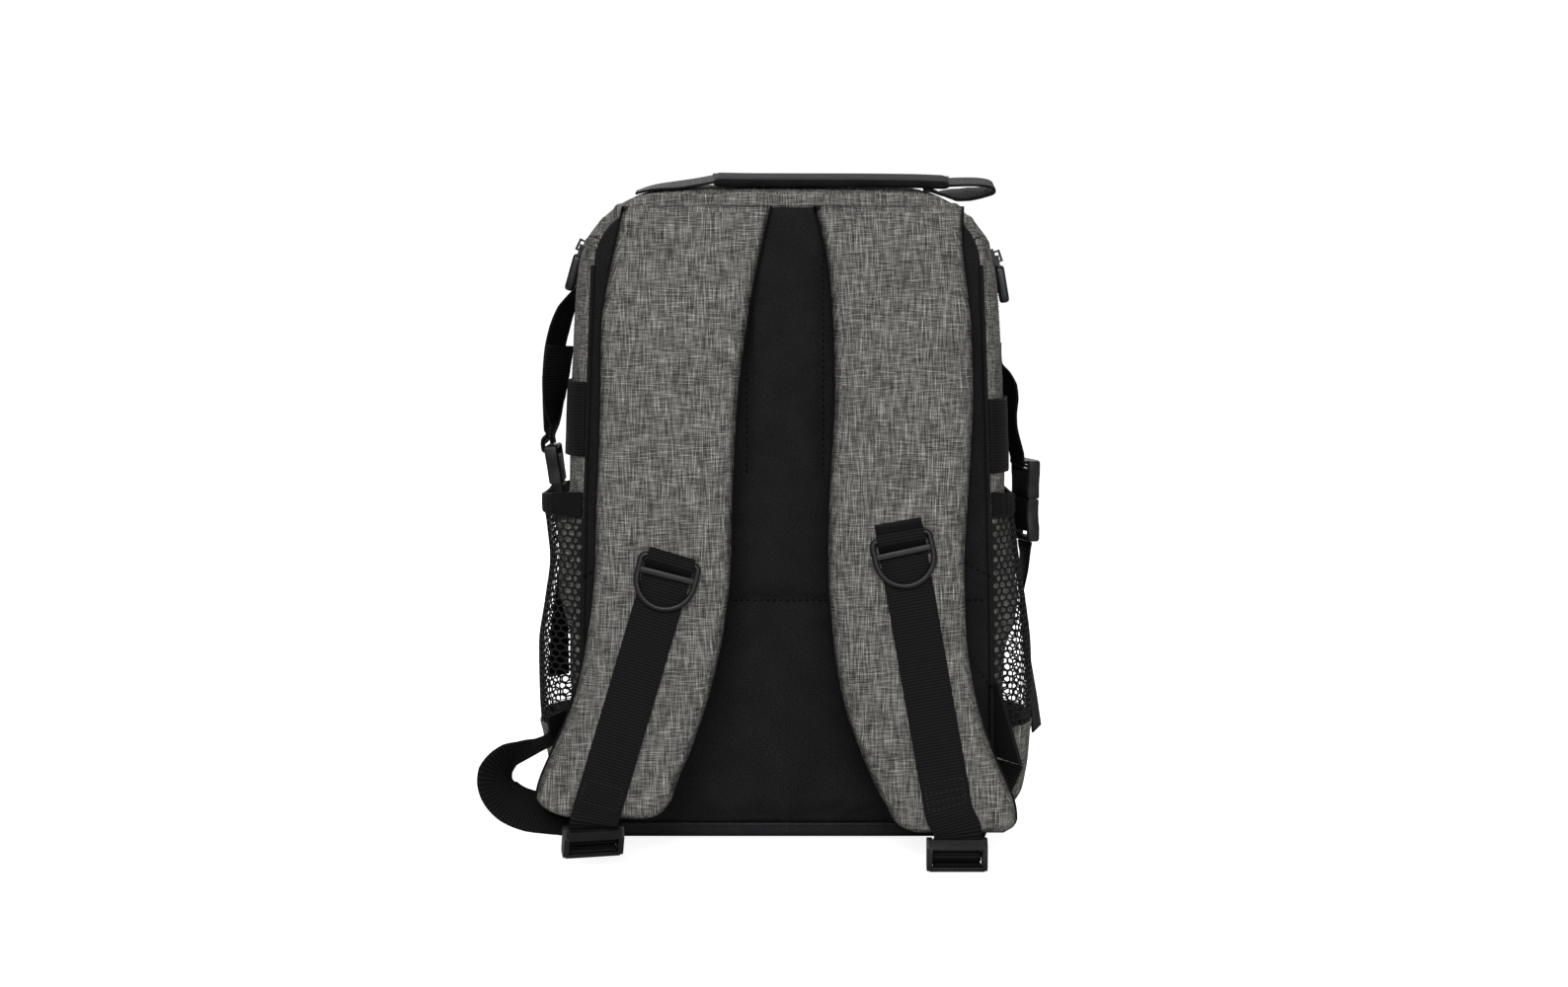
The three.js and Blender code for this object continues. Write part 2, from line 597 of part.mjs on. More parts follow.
function dRing() {
  const { half, height, rod, barFoot, barHead, topBar } = D_RING;
  const top = height / 2;
  const bend = half - top;
  const shape = new THREE.Shape();
  shape.moveTo(half - 2, top);
  shape.lineTo(-half + 2, top);
  shape.lineTo(-half, top - 2);
  shape.absarc(0, bend, half, Math.PI, 2 * Math.PI, false);
  shape.lineTo(half, top - 2);
  const inner = half - rod;
  const arch = new THREE.Path();
  arch.moveTo(inner, barFoot);
  arch.lineTo(-inner, barFoot);
  arch.absarc(0, bend, inner, Math.PI, 2 * Math.PI, false);
  const slot = new THREE.Path();
  slot.moveTo(inner, barHead);
  slot.lineTo(inner, top - topBar);
  slot.lineTo(-inner, top - topBar);
  slot.lineTo(-inner, barHead);
  shape.holes.push(arch, slot);
  const bevel = 0.5;
  const solid = new THREE.ExtrudeGeometry(shape, {
    depth: D_RING.thick - 2 * bevel,
    bevelThickness: bevel,
    bevelSize: bevel,
    bevelOffset: -bevel,
    bevelSegments: 1,
    curveSegments: 7,
  });
  return solid.translate(0, 0, bevel);
}

const RING_LIFT = 2.3;

// The fold over the ring's top bar, as steps along the strap (s) and off its face (n)
const RING_FOLD = [
  { s: 5.3, n: 1.15 },
  { s: 7.8, n: 1.15 },
  { s: 10.5, n: 3.5 },
  { s: 12.9, n: 6.2 },
  { s: 14.7, n: 6.6 },
  { s: 17.4, n: 6.6 },
  { s: 19.2, n: 5.6 },
  { s: 19.8, n: 3.9 },
  { s: 19.2, n: 2.2 },
  { s: 17.2, n: 1.2 },
];

// The turn round the ladder lock's middle bar, as places up and out in the lock
const LOCK_TURN = [
  { up: 16, out: -0.2 },
  { up: 9, out: -0.5 },
  { up: 4, out: -0.6 },
  { up: 0.6, out: -1 },
  { up: -2.8, out: -1.1 },
  { up: -4.1, out: -2.3 },
  { up: -4.1, out: -4.9 },
  { up: -2.8, out: -6.2 },
  { up: 0.8, out: -6.3 },
];
const LOCK_ENTRY = [
  { up: -6.4, out: 2.6 },
  { up: -6.4, out: -2.4 },
  { up: -6.6, out: -12 },
];

function lockFrame(place) {
  const turn = new THREE.Euler(rad(-place.pitch), 0, rad(place.yaw), "ZXY");
  const up = new THREE.Vector3(0, 0, 1).applyEuler(turn);
  const out = new THREE.Vector3(0, -1, 0).applyEuler(turn);
  return frame(new THREE.Vector3(place.x, SEAM_Y - place.stand, place.z), up, out);
}

function ladderLock() {
  const { half, cheek, up, out } = LOCK;
  const side = new THREE.Shape();
  side.moveTo(out, up - 2.5);
  side.quadraticCurveTo(out, up, out - 2.5, up);
  side.lineTo(-out + 4, up);
  side.lineTo(-out, up - 5);
  side.lineTo(-out, -up + 5);
  side.quadraticCurveTo(-out, -up, -out + 4, -up);
  side.lineTo(out - 3, -up);
  side.quadraticCurveTo(out, -up, out, -up + 3);
  const cheekAt = (x) => {
    const solid = new THREE.ExtrudeGeometry(side, { depth: cheek, bevelEnabled: false, curveSegments: 4 });
    return solid.rotateX(Math.PI / 2).rotateZ(Math.PI / 2).rotateX(-Math.PI / 2).translate(x, 0, 0);
  };
  const span = 2 * half - cheek;
  const topBar = box(span, 6.4, 3.4, 0, up - 3.2, out - 1.9);
  const middleBar = box(span, 3.2, 2.8, 0, -1, -out + 1.4);
  const bottomBar = box(span, 2.8, 5, 0, -up + 1.4, 1);
  return fromManifold(joinAll([cheekAt(-half), cheekAt(half - cheek), topBar, middleBar, bottomBar]));
}

for (const { name } of SIDES) {
  const place = HARNESS[name];
  const ring = faceFrame(place, place.ringX, place.ringZ, 20);
  const lock = lockFrame(LOCK_PLACES[name]);
  add(`d_ring_${name}`, closed(dRing().translate(0, 0, RING_LIFT).applyMatrix4(ring.matrix)), "plastic");
  add(`ladder_lock_${name}`, closed(ladderLock().applyMatrix4(lock.matrix)), "plastic");

  const fold = RING_FOLD.map(({ s, n }) => ({ at: ring.point(0, s, n), across: ring.across })).reverse();
  const levels = place.rows.map((row) => row.z).filter((z) => z < place.ringZ - 14 && z > place.endZ + 18);
  const leave = place.endZ + 9;
  const run = [...levels, leave].map((z) => {
    const k = (z - place.endZ) / (place.ringZ - place.endZ);
    const x = lerp(place.endX, place.ringX, k);
    const off = z === leave ? 2.6 : 1.5;
    const at = new THREE.Vector3(x, SEAM_Y - strapFace(place.rows, z) - off, z);
    const across = faceFrame(place, x, z, 6).across;
    return { at, across: z === leave ? across.lerp(lock.across, 0.5) : across };
  });
  const turn = LOCK_TURN.map(({ up, out }) => ({ at: lock.point(0, up, out), across: lock.across }));
  add(`strap_webbing_${name}`, ribbon([...fold, ...run, ...turn], HARNESS_WEB), "webbing");
}

// Anchor tabs, fins in the lower side seams, and the adjusters that run to them

const TAB = { foot: 58, head: 106, reach: 32, tip: 5, thick: 2.4, depth: 2 };

function tabBase(sign, z) {
  const x = halfWidth(TAB.depth, z) + 1.4;
  return new THREE.Vector3(sign * x, SEAM_Y + TAB.depth - 0.8, z);
}

for (const { name, sign } of SIDES) {
  const outwards = new THREE.Vector3(sign * 0.45, -0.893, 0);
  const inner = new THREE.Vector3(-sign * 0.893, -0.45, 0);
  const tab = slab(steps(TAB.foot, TAB.head, 3), [0, 1], (z, v, w) => {
    const reach = lerp(TAB.reach, TAB.tip, (z - TAB.foot) / (TAB.head - TAB.foot));
    const point = tabBase(sign, z).addScaledVector(outwards, v * reach);
    return point.addScaledVector(inner, w * TAB.thick).toArray();
  });
  add(`anchor_tab_${name}`, tab, "lining");

  // The right adjuster is sewn to the foot of its tab and the left one, which loops out, to the outer face
  const lock = lockFrame(LOCK_PLACES[name]);
  const entry = LOCK_ENTRY.map(({ up, out }) => ({ at: lock.point(0, up, out), across: lock.across }));
  const seats = {
    left: { levels: [78, 90], reach: 19, offset: -HARNESS_WEB.thick / 2 - 0.75 },
    right: { levels: [56.8], reach: 17, offset: TAB.thick / 2 },
  };
  const { levels, reach: seat, offset } = seats[name];
  const across = outwards.clone().multiplyScalar(sign);
  const end = levels.map((z) => {
    const at = tabBase(sign, z).addScaledVector(outwards, seat).addScaledVector(inner, offset);
    return { at, across };
  });
  const middle = looseStations(name === "left" ? LEFT_LOOP : RIGHT_RUN);
  const path = smoothed([entry[2], ...middle, ...end], name === "left" ? 2 : 4);
  add(`adjuster_webbing_${name}`, ribbon([entry[0], entry[1], ...path], HARNESS_WEB), "webbing");
}

// Side pockets

function pocketX(name, depth, z) {
  const k = (depth - POCKET.back) / (POCKET.front - POCKET.back);
  const swell = 1 - Math.abs(2 * k - 1) ** 4;
  return halfWidth(depth, z) + GAP + readTable(POCKET_ROWS, "z", z, name) * swell;
}

const POCKET_DEPTHS = [POCKET.back, 12, 20, 30, 46, 56, 75, 90, 104, 112, POCKET.front];

// The mouth droops from the back seam outwards
function mouthDrop(depth) {
  const k = (depth - POCKET.back) / (POCKET.front - POCKET.back);
  return 8 * Math.sin(Math.PI * k);
}

// The gaps of the net, four-sided, staggered row by row and cut straight through from the side
function netCutters(sign) {
  const wide = (POCKET.front - POCKET.back - 10) / (NET_CELLS.columns + 0.5);
  const high = (POCKET.netTop - POCKET.netFoot - 6) / (NET_CELLS.rows * 0.75 + 0.25);
  const cells = [];
  for (let row = 0; row < NET_CELLS.rows; row += 1) {
    for (let column = 0; column < NET_CELLS.columns; column += 1) {
      const depth = POCKET.back + 5 + wide * (column + 0.5 + (row % 2) / 2);
      const z = POCKET.netFoot + 3 + high * (0.5 + row * 0.75);
      const corners = steps(0, 3, 3).map((i) => {
        const angle = (i * Math.PI) / 2;
        const across = Math.cos(angle) * wide * 0.5 * NET_CELLS.share;
        const rise = Math.sin(angle) * high * 0.75 * NET_CELLS.share;
        return new THREE.Vector2(depth + across, z + rise);
      });
      cells.push(new THREE.Shape(corners));
    }
  }
  const prisms = new THREE.ExtrudeGeometry(cells, { depth: 1, bevelEnabled: false });
  const points = prisms.getAttribute("position");
  for (let i = 0; i < points.count; i += 1) {
    const x = lerp(120, 200, points.getZ(i));
    points.setXYZ(i, sign * x, SEAM_Y + points.getX(i), points.getY(i));
  }
  return prisms;
}

for (const { name, sign } of SIDES) {
  const wall = (levels, thick, level, depths = POCKET_DEPTHS) =>
    slab(levels, depths, (v, depth, w) => {
      const z = level(v, depth);
      return [sign * (pocketX(name, depth, z) + w * thick), SEAM_Y + depth, z];
    });
  const bindingFoot = POCKET.netTop + GAP;
  const mouth = (v, depth) => lerp(bindingFoot, bindingFoot + 16, v) - mouthDrop(depth) * v * 0.5;
  add(`pocket_binding_${name}`, wall([0, 0.5, 1], 2.4, mouth), "webbing");
  const footLevels = [POCKET.foot, 18, 24, 32, 50, 62, POCKET.netFoot - GAP];
  add(`pocket_base_${name}`, wall(footLevels, 2.2, (v) => v), "melange");

  const netLevels = [POCKET.netFoot, 112, 157, 184, POCKET.netTop];
  const netDepths = [POCKET.back, 15, 30, 63, 96, 111, POCKET.front];
  const sheet = toManifold(wall(netLevels, POCKET.net, (v) => v, netDepths));
  add(`pocket_net_${name}`, fromManifold(sheet.subtract(toManifold(netCutters(sign)))), "net");
}

// Compression straps with their buckles

function buckleFrame(name, sign) {
  const place = BUCKLE_PLACES[name];
  const x = sign * (halfWidth(place.y - SEAM_Y, place.z) + place.out);
  const up = new THREE.Vector3(sign * Math.sin(rad(place.lean)), 0, Math.cos(rad(place.lean)));
  const out = aim(place.turn - 90, 0).multiplyScalar(sign);
  return frame(new THREE.Vector3(x, place.y, place.z), up, out);
}

// Half a buckle, drawn from its webbing slot (y 0) to the joint between the halves, with its windows
function buckleHalf(length, shoulder) {
  const { half, thick, slot } = BUCKLE;
  const shape = new THREE.Shape();
  shape.moveTo(-half + 2.5, 0);
  shape.lineTo(half - 2.5, 0);
  shape.quadraticCurveTo(half, 0, half, 2.5);
  shape.lineTo(half, length * 0.35);
  shape.quadraticCurveTo(half - shoulder, length * 0.6, half - shoulder * 0.4, length);
  shape.lineTo(-half + shoulder * 0.4, length);
  shape.quadraticCurveTo(-half + shoulder, length * 0.6, -half, length * 0.35);
  shape.lineTo(-half, 2.5);
  shape.quadraticCurveTo(-half, 0, -half + 2.5, 0);
  const opening = new THREE.Path();
  opening.moveTo(-half + 3.2, 3);
  opening.lineTo(-half + 3.2, 3 + slot);
  opening.lineTo(half - 3.2, 3 + slot);
  opening.lineTo(half - 3.2, 3);
  shape.holes.push(opening);
  const bevel = 1.2;
  const solid = new THREE.ExtrudeGeometry(shape, {
    depth: thick - 2 * bevel,
    bevelThickness: bevel,
    bevelSize: bevel,
    bevelOffset: -bevel,
    bevelSegments: 1,
    curveSegments: 4,
  });
  return solid.translate(0, 0, bevel - thick / 2);
}

function strapStations(rows, sign) {
  return rows.map((row) => {
    const x = sign * (halfWidth(row.y - SEAM_Y, row.z) + row.out);
    return { at: new THREE.Vector3(x, row.y, row.z), across: aim(row.turn, 0) };
  });
}

for (const { name, sign } of SIDES) {
  const held = buckleFrame(name, sign);
  const clip = buckleHalf(BUCKLE.clip, 2).rotateZ(Math.PI);
  const socket = buckleHalf(BUCKLE.socket, 3.5).translate(0, -BUCKLE.clip - GAP - BUCKLE.socket, 0);
  add(`side_clip_${name}`, closed(clip.applyMatrix4(held.matrix)), "plastic");
  add(`side_socket_${name}`, closed(socket.applyMatrix4(held.matrix)), "plastic");

  // The strap enters the slot of the clip and the tails leave both ends of the buckle
  const entry = BUCKLE_PLACES[name].entry;
  const rows = name === "left" ? SIDE_STRAP_LEFT : SIDE_STRAP_RIGHT;
  const drop = smoothed(strapStations(rows, sign), 2);
  const across = aim(BUCKLE_PLACES[name].turn, 0);
  const into = [
    { up: 2.2, out: 6.2 },
    { up: -2.6, out: 5.9 },
    { up: -4.6, out: 3.2 },
    { up: -5, out: -2 },
  ].map(({ up, out }) => ({ at: held.point(0, up, entry * out), across }));
  add(`side_strap_${name}`, ribbon([...drop, ...into], SIDE_WEB), "webbing");
  const foot = -BUCKLE.clip - BUCKLE.socket - 2 * GAP;
  const leaving = { at: held.point(0, foot - 0.35, 0), across };
  const tail = looseStations(name === "left" ? TAIL_LEFT_DOWN : TAIL_RIGHT);
  add(`side_tail_${name}`, ribbon(smoothed([leaving, ...tail], 2), SIDE_WEB), "webbing");
  if (name === "left") {
    const rising = [0.45, 5.5].map((up) => ({ at: held.point(3, up, -1), across }));
    const free = smoothed([...rising, ...looseStations(TAIL_LEFT_UP)], 3);
    add("side_tail_left_free", ribbon(free, SIDE_WEB), "webbing");
  }
}

// Carry handle: a flat sleeve between two ends of webbing sewn to the top

const HANDLE_ACROSS = aim(90, HANDLE.tilt);
const HANDLE_UP = aim(90, HANDLE.tilt + 90);
const GRIP_SHARE = { 0: 0, 0.12: 0.75, 0.3: 1, 0.7: 1, 0.88: 0.75, 1: 0 };
const gripStations = HANDLE_GRIP.map((row) => row.x);
const grip = slab(gripStations, Object.keys(GRIP_SHARE).map(Number).sort(), (x, v, w) => {
  const thick = lerp(HANDLE.edge, HANDLE.thick, GRIP_SHARE[v]);
  const rise = (w - 0.5) * thick;
  const middle = new THREE.Vector3(x, HANDLE.y, readTable(HANDLE_GRIP, "x", x, "z"));
  return middle.addScaledVector(HANDLE_ACROSS, (v - 0.5) * HANDLE.width).addScaledVector(HANDLE_UP, rise).toArray();
});
add("handle_grip", grip, "sleeve");

// The height of the top panel's outer face at a distance from the middle
function roofHeight(depth, x) {
  const s = section(depth, 0);
  const flat = s.upper - s.topArc;
  const reach = Math.abs(x);
  if (reach < flat) {
    return s.roof + s.crown * (1 - (reach / flat) ** 2);
  }
  return s.roof - s.topArc + Math.sqrt(s.topArc ** 2 - (reach - flat) ** 2);
}

for (const { name } of SIDES) {
  const depth = HANDLE.y - SEAM_Y;
  const reach = HANDLE_WEB.width / 2;
  const seat = GAP + 0.3 + HANDLE_WEB.thick / 2;
  const rows = name === "left" ? HANDLE_LEFT : HANDLE_RIGHT;
  const free = rows.map(({ x, z, tilt = HANDLE.tilt }) => {
    const drop = (rows[0].z - z) * Math.tan(rad(HANDLE.tilt));
    return { at: new THREE.Vector3(x, HANDLE.y + drop, z), across: aim(90, tilt) };
  });
  const sewn = HANDLE_SEWN[name].map((x) => {
    const back = roofHeight(depth - reach, x);
    const fore = roofHeight(depth + reach, x);
    const at = new THREE.Vector3(x, HANDLE.y, Math.max((back + fore) / 2, roofHeight(depth, x)) + seat);
    return { at, across: new THREE.Vector3(0, 2 * reach, fore - back).normalize() };
  });
  add(`handle_webbing_${name}`, ribbon(smoothed([...free, ...sewn], 2), HANDLE_WEB), "webbing");
}

// Zip sliders, each with a bridge that holds the eye of its pull

function sliderFrame(name, sign) {
  const depth = (ZIP.from + ZIP.to) / 2;
  const place = placeAtHeight(depth, ZIP_STOPS[name]);
  const angle = (place - 3) * (Math.PI / 2);
  const point = outline(depth, sign * place, ZIP.recess);
  const up = new THREE.Vector3(-sign * Math.sin(angle), 0, Math.cos(angle));
  const out = new THREE.Vector3(sign * Math.cos(angle), 0, Math.sin(angle));
  return frame(new THREE.Vector3(point.x, SEAM_Y + depth, point.z), up, out);
}

function slider() {
  const { width, length, base, bridge, post, tunnel, span } = SLIDER;
  const top = GAP + base;
  const postY = (span + post) / 2;
  const postAt = (y) => box(bridge, post, tunnel + post + 0.4, 0, y, top + (tunnel + post - 0.4) / 2);
  const arch = box(bridge, span + 2 * post, post, 0, 0, top + tunnel + post / 2);
  const plate = box(width, length, base, 0, 0, GAP + base / 2);
  return fromManifold(joinAll([plate, postAt(postY), postAt(-postY), arch]));
}

const PIVOT = GAP + SLIDER.base + SLIDER.tunnel / 2;

function pull() {
  const { length, width, thick, eye, arm, bar, hole } = PULL;
  const half = hole / 2 + arm;
  const shape = new THREE.Shape();
  shape.moveTo(-half, bar / 2);
  shape.lineTo(-half, -eye);
  shape.lineTo(-width / 2, -eye - 4);
  shape.lineTo(-width / 2, -length + width / 2);
  shape.absarc(0, -length + width / 2, width / 2, Math.PI, 2 * Math.PI, false);
  shape.lineTo(width / 2, -eye - 4);
  shape.lineTo(half, -eye);
  shape.lineTo(half, bar / 2);
  const opening = new THREE.Path();
  opening.moveTo(-hole / 2, -bar / 2);
  opening.lineTo(hole / 2, -bar / 2);
  opening.lineTo(hole / 2, -bar / 2 - eye);
  opening.lineTo(-hole / 2, -bar / 2 - eye);
  shape.holes.push(opening);
  const solid = new THREE.ExtrudeGeometry(shape, { depth: thick, bevelEnabled: false, curveSegments: 8 });
  return solid.translate(0, 0, PIVOT - thick / 2);
}

for (const { name, sign } of SIDES) {
  const place = sliderFrame(name, sign);
  add(`zip_slider_${name}`, closed(slider().applyMatrix4(place.matrix)), "zip_metal");
  add(`zip_pull_${name}`, closed(pull().applyMatrix4(place.matrix)), "zip_metal");
}

export default pack;
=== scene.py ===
# Camera backpack: its cloth, webbing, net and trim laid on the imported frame, and the studio round it.

import json
import math

import bmesh
import bpy
from mathutils import Matrix, Vector, noise


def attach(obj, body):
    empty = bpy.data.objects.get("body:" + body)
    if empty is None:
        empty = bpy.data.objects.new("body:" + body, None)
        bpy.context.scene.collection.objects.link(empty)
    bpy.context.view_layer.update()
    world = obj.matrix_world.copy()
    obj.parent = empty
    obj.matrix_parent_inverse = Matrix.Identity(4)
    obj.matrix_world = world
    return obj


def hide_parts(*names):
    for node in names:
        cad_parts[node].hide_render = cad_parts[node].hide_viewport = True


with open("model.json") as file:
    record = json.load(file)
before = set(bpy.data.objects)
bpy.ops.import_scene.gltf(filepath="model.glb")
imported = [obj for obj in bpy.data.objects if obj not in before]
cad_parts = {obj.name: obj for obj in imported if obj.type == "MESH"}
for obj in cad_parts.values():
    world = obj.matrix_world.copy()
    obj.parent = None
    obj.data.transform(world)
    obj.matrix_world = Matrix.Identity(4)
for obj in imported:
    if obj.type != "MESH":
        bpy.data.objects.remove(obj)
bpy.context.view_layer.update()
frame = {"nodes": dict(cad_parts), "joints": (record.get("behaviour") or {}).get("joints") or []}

# Sizes in millimetres, as in the part's source
MM = 0.001
SEAM_Y = -80
FRONT_DEPTH = 128
FRONT_BULGE = 36
GAP = 0.35
ZIP = {"from": 46, "to": 56, "recess": 0.9, "ends": {"left": 304, "right": 293}}
BAND = {"height": 48, "thick": 1.5, "foot": {"left": 254, "right": 243}}
POCKET = {"seam": 0.8, "back": 8, "front": 118, "foot": 13, "net_foot": 75, "net_top": 214, "binding": 16}
LOWER_SEAM = 1.5
UPPER_SEAM = 3.3
HARNESS_WEB = (30, 1.6)
SIDE_WEB = (25, 1.5)
HANDLE_WEB = (24, 1.6)
D_RING = {"half": 20.5, "height": 34.5, "rod": 1.6, "stout": 1.95, "inset": 0.3, "corner": 3.0}
D_RING |= {"bar_foot": 3.8, "bar_head": 7.8, "bar_thick": 2.6, "bar_edge": 0.7}
PANEL = {"rim": 3, "pad": 5.5, "groove": 3.4, "rise": 18, "top_rise": 50, "low": 14, "high": 413.5}
HANDLE = {"y": -56, "width": 26, "thick": 6, "edge": 3, "tilt": math.radians(13.8)}
# seam, highlight_in and highlight_up size and place the light grey piping that paints the highlight on the sleeve's
# edge
HANDLE |= {"over": 0.6, "tuck": 5, "long": 153, "end": 5, "seam": 1.1, "highlight_in": 0.5, "highlight_up": 0.6}
SIDES = (("left", -1), ("right", 1))
ZIP_MIDDLE = (ZIP["from"] + ZIP["to"]) / 2
TOP_MIDDLE = 5
CLOTH_THICK = 3.5
BODY_MIDDLE = Vector((0, SEAM_Y + 64, 210))
SEED_STEP = (7.3, 3.1, 5.7)
TINY = 1e-6

# Sections of the body from the back seam to the front seam
SECTION_COLUMNS = ("depth", "lower", "upper", "bow", "floor", "roof", "crown", "low_arc", "top_arc")
SECTIONS = [
    dict(zip(SECTION_COLUMNS, row))
    for row in (
        (0, 134, 124, 1.5, 13, 414.5, 0.5, 26, 38),
        (7, 139, 131, 2.5, 4.5, 420.5, 1, 28, 46),
        (20, 142, 137, 4, 0, 426, 1.5, 30, 60),
        (46, 143, 140, 5, 0, 429, 2, 30, 70),
        (56, 143, 140, 5, 0, 428.5, 2, 30, 70),
        (75, 143, 139.5, 5, 0, 427, 2, 30, 70),
        (104, 142, 138, 4.5, 0, 423, 2, 30, 68),
        (128, 140, 135, 4, 0, 417, 2, 30, 64),
    )
]

# How far each pocket's net stands off the side, level by level
POCKET_ROWS = [
    dict(zip(("z", "left", "right"), row))
    for row in (
        (232, 14.6, 2.5),
        (222, 14.6, 2.5),
        (205, 12.5, 4.5),
        (184, 10.5, 7),
        (157, 14, 11.5),
        (124, 19, 16),
        (90, 19.4, 17.5),
        (75, 19, 17.5),
        (50, 15.5, 17),
        (28, 10.5, 13.5),
        (13, 3, 4),
    )
]

# The line of the handle's sleeve
GRIP_ROWS = [
    dict(zip(("x", "z"), row))
    for row in ((-48, 432.4), (-25, 432), (0, 431.9), (40, 431.8), (80, 431.4), (105, 430.5))
]


def lerp(a, b, t):
    return a + (b - a) * t


def clamp(value, low=0.0, high=1.0):
    return min(max(value, low), high)


def ease(value):
    t = clamp(value)
    return t * t * (3 - 2 * t)


def smooth_step(a, b, leaving, coming, t):
    """A smooth run from a to b with the slopes given at its ends."""
    start, end = (1 + 2 * t) * (1 - t) ** 2, t * t * (3 - 2 * t)
    return a * start + leaving * (t * (1 - t) ** 2) + b * end + coming * (t * t * (t - 1))


def on_rim(u, v):
    return min(u, 1 - u, v, 1 - v) < TINY


def read(rows, key, at, column):
    """One column of a table at a value of its key, on a smooth curve that never swings past a row."""
    rows = sorted(rows, key=lambda row: row[key])
    xs = [row[key] for row in rows]
    ys = [row[column] for row in rows]
    at = clamp(at, xs[0], xs[-1])
    i = max(k for k in range(len(xs) - 1) if xs[k] <= at)
    rise = [(ys[k + 1] - ys[k]) / (xs[k + 1] - xs[k]) for k in range(len(xs) - 1)]

    def slope(k):
        if k in (0, len(xs) - 1):
            return rise[min(k, len(rise) - 1)]
        before, after = rise[k - 1], rise[k]
        return 0 if before * after <= 0 else 2 * before * after / (before + after)

    span = xs[i + 1] - xs[i]
    return smooth_step(ys[i], ys[i + 1], slope(i) * span, slope(i + 1) * span, (at - xs[i]) / span)


_sections = {}


def section(depth):
    key = round(depth, 3)
    if key not in _sections:
        _sections[key] = {c: read(SECTIONS, "depth", depth, c) for c in SECTION_COLUMNS[1:]}
    return _sections[key]


def half_width(depth, z):
    s = section(depth)
    low_end = s["floor"] + s["low_arc"]
    top_end = s["roof"] - s["top_arc"]
    if z < low_end:
        return s["lower"] - s["low_arc"] + math.sqrt(max(0, s["low_arc"] ** 2 - (low_end - z) ** 2))
    if z > top_end:
        return s["upper"] - s["top_arc"] + math.sqrt(max(0, s["top_arc"] ** 2 - (z - top_end) ** 2))
    k = (z - low_end) / (top_end - low_end)
    return lerp(s["lower"], s["upper"], k) + s["bow"] * 4 * k * (1 - k)


def outline(depth, place):
    """A point of the body's outline: 0 middle of the base, 1 to 2 lower corner, 2 to 3 side, 3 to 4 upper corner,
    5 middle of the top, negative on the left."""
    s = section(depth)
    t, sign = abs(place), -1 if place < 0 else 1
    turn = (t % 1) * math.pi / 2
    if t < 1:
        x, z = t * (s["lower"] - s["low_arc"]), s["floor"]
    elif t < 2:
        x = s["lower"] - s["low_arc"] * (1 - math.sin(turn))
        z = s["floor"] + s["low_arc"] * (1 - math.cos(turn))
    elif t < 3:
        z = lerp(s["floor"] + s["low_arc"], s["roof"] - s["top_arc"], t - 2)
        x = half_width(depth, z)
    elif t < 4:
        x = s["upper"] - s["top_arc"] * (1 - math.cos(turn))
        z = s["roof"] - s["top_arc"] * (1 - math.sin(turn))
    else:
        x = (s["upper"] - s["top_arc"]) * (TOP_MIDDLE - t)
        z = s["roof"] + s["crown"] * (1 - (TOP_MIDDLE - t) ** 2)
    return Vector((sign * x, SEAM_Y + depth, z))


def outward(depth, place):
    """The direction out of the body at a point of its outline."""
    along = outline(depth, place + 0.01) - outline(depth, place - 0.01)
    back = outline(min(depth + 1, FRONT_DEPTH), place) - outline(max(depth - 1, 0), place)
    out = along.cross(back).normalized()
    return out if out.dot(outline(depth, place) - BODY_MIDDLE) > 0 else -out


def ripple(point, size, seed):
    """Soft unevenness, from -1 to 1, with lumps about as large as size."""
    return noise.noise(Vector(point) / size + Vector([seed * step for step in SEED_STEP]))


# Materials


def add(tree, kind, inputs=None, **settings):
    """A new node with its settings, and its inputs linked or set."""
    made = tree.nodes.new(kind)
    for key, value in settings.items():
        setattr(made, key, value)
    for key, value in (inputs or {}).items():
        if isinstance(value, bpy.types.NodeSocket):
            tree.links.new(value, made.inputs[key])
        else:
            made.inputs[key].default_value = value
    return made


def finish(name, **values):
    """A new material with its shader's plain values set, each named as its socket with _ for a space."""
    material = bpy.data.materials.new(name)
    material.use_nodes = True
    tree = material.node_tree
    shader = tree.nodes["Principled BSDF"]
    for key, value in values.items():
        shader.inputs[key.replace("_", " ")].default_value = value
    return material, tree, shader


def weave_uv(tree, scale, turn=0.0):
    """The weave's own coordinates, stretched. A turn staggers the ends of neighbouring threads."""
    uv = add(tree, "ShaderNodeUVMap", uv_map="weave").outputs["UV"]
    settings = {"Vector": uv, "Scale": scale, "Rotation": (0, 0, turn)}
    return add(tree, "ShaderNodeMapping", settings).outputs["Vector"]


def ramp(tree, value, *stops):
    made = add(tree, "ShaderNodeValToRGB", {"Fac": value})
    band = made.color_ramp.elements
    while len(band) < len(stops):
        band.new(0.5)
    for element, (at, colour) in zip(band, stops):
        element.position = at
        element.color = (*colour, 1)
    return made.outputs["Color"]


def grey(value):
    return (value, value, value)


# The colour sockets of a Mix node, by number because their names repeat
MIX = {"factor": 0, "one": 6, "other": 7, "result": 2}


def blend(tree, factor, one, other, how="MIX"):
    inputs = {MIX["factor"]: factor, MIX["one"]: one, MIX["other"]: other}
    made = add(tree, "ShaderNodeMix", inputs, data_type="RGBA", blend_type=how)
    return made.outputs[MIX["result"]]


def bump(tree, shader, height, strength, distance):
    made = add(tree, "ShaderNodeBump", {"Height": height, "Strength": strength, "Distance": distance})
    tree.links.new(made.outputs["Normal"], shader.inputs["Normal"])


def flat_noise(tree, vector, detail):
    settings = {"Vector": vector, "Scale": 1.0, "Detail": detail}
    return add(tree, "ShaderNodeTexNoise", settings, noise_dimensions="2D").outputs["Fac"]


def solid_noise(tree, vector, scale, detail):
    settings = {"Vector": vector, "Scale": scale, "Detail": detail}
    return add(tree, "ShaderNodeTexNoise", settings).outputs["Fac"]


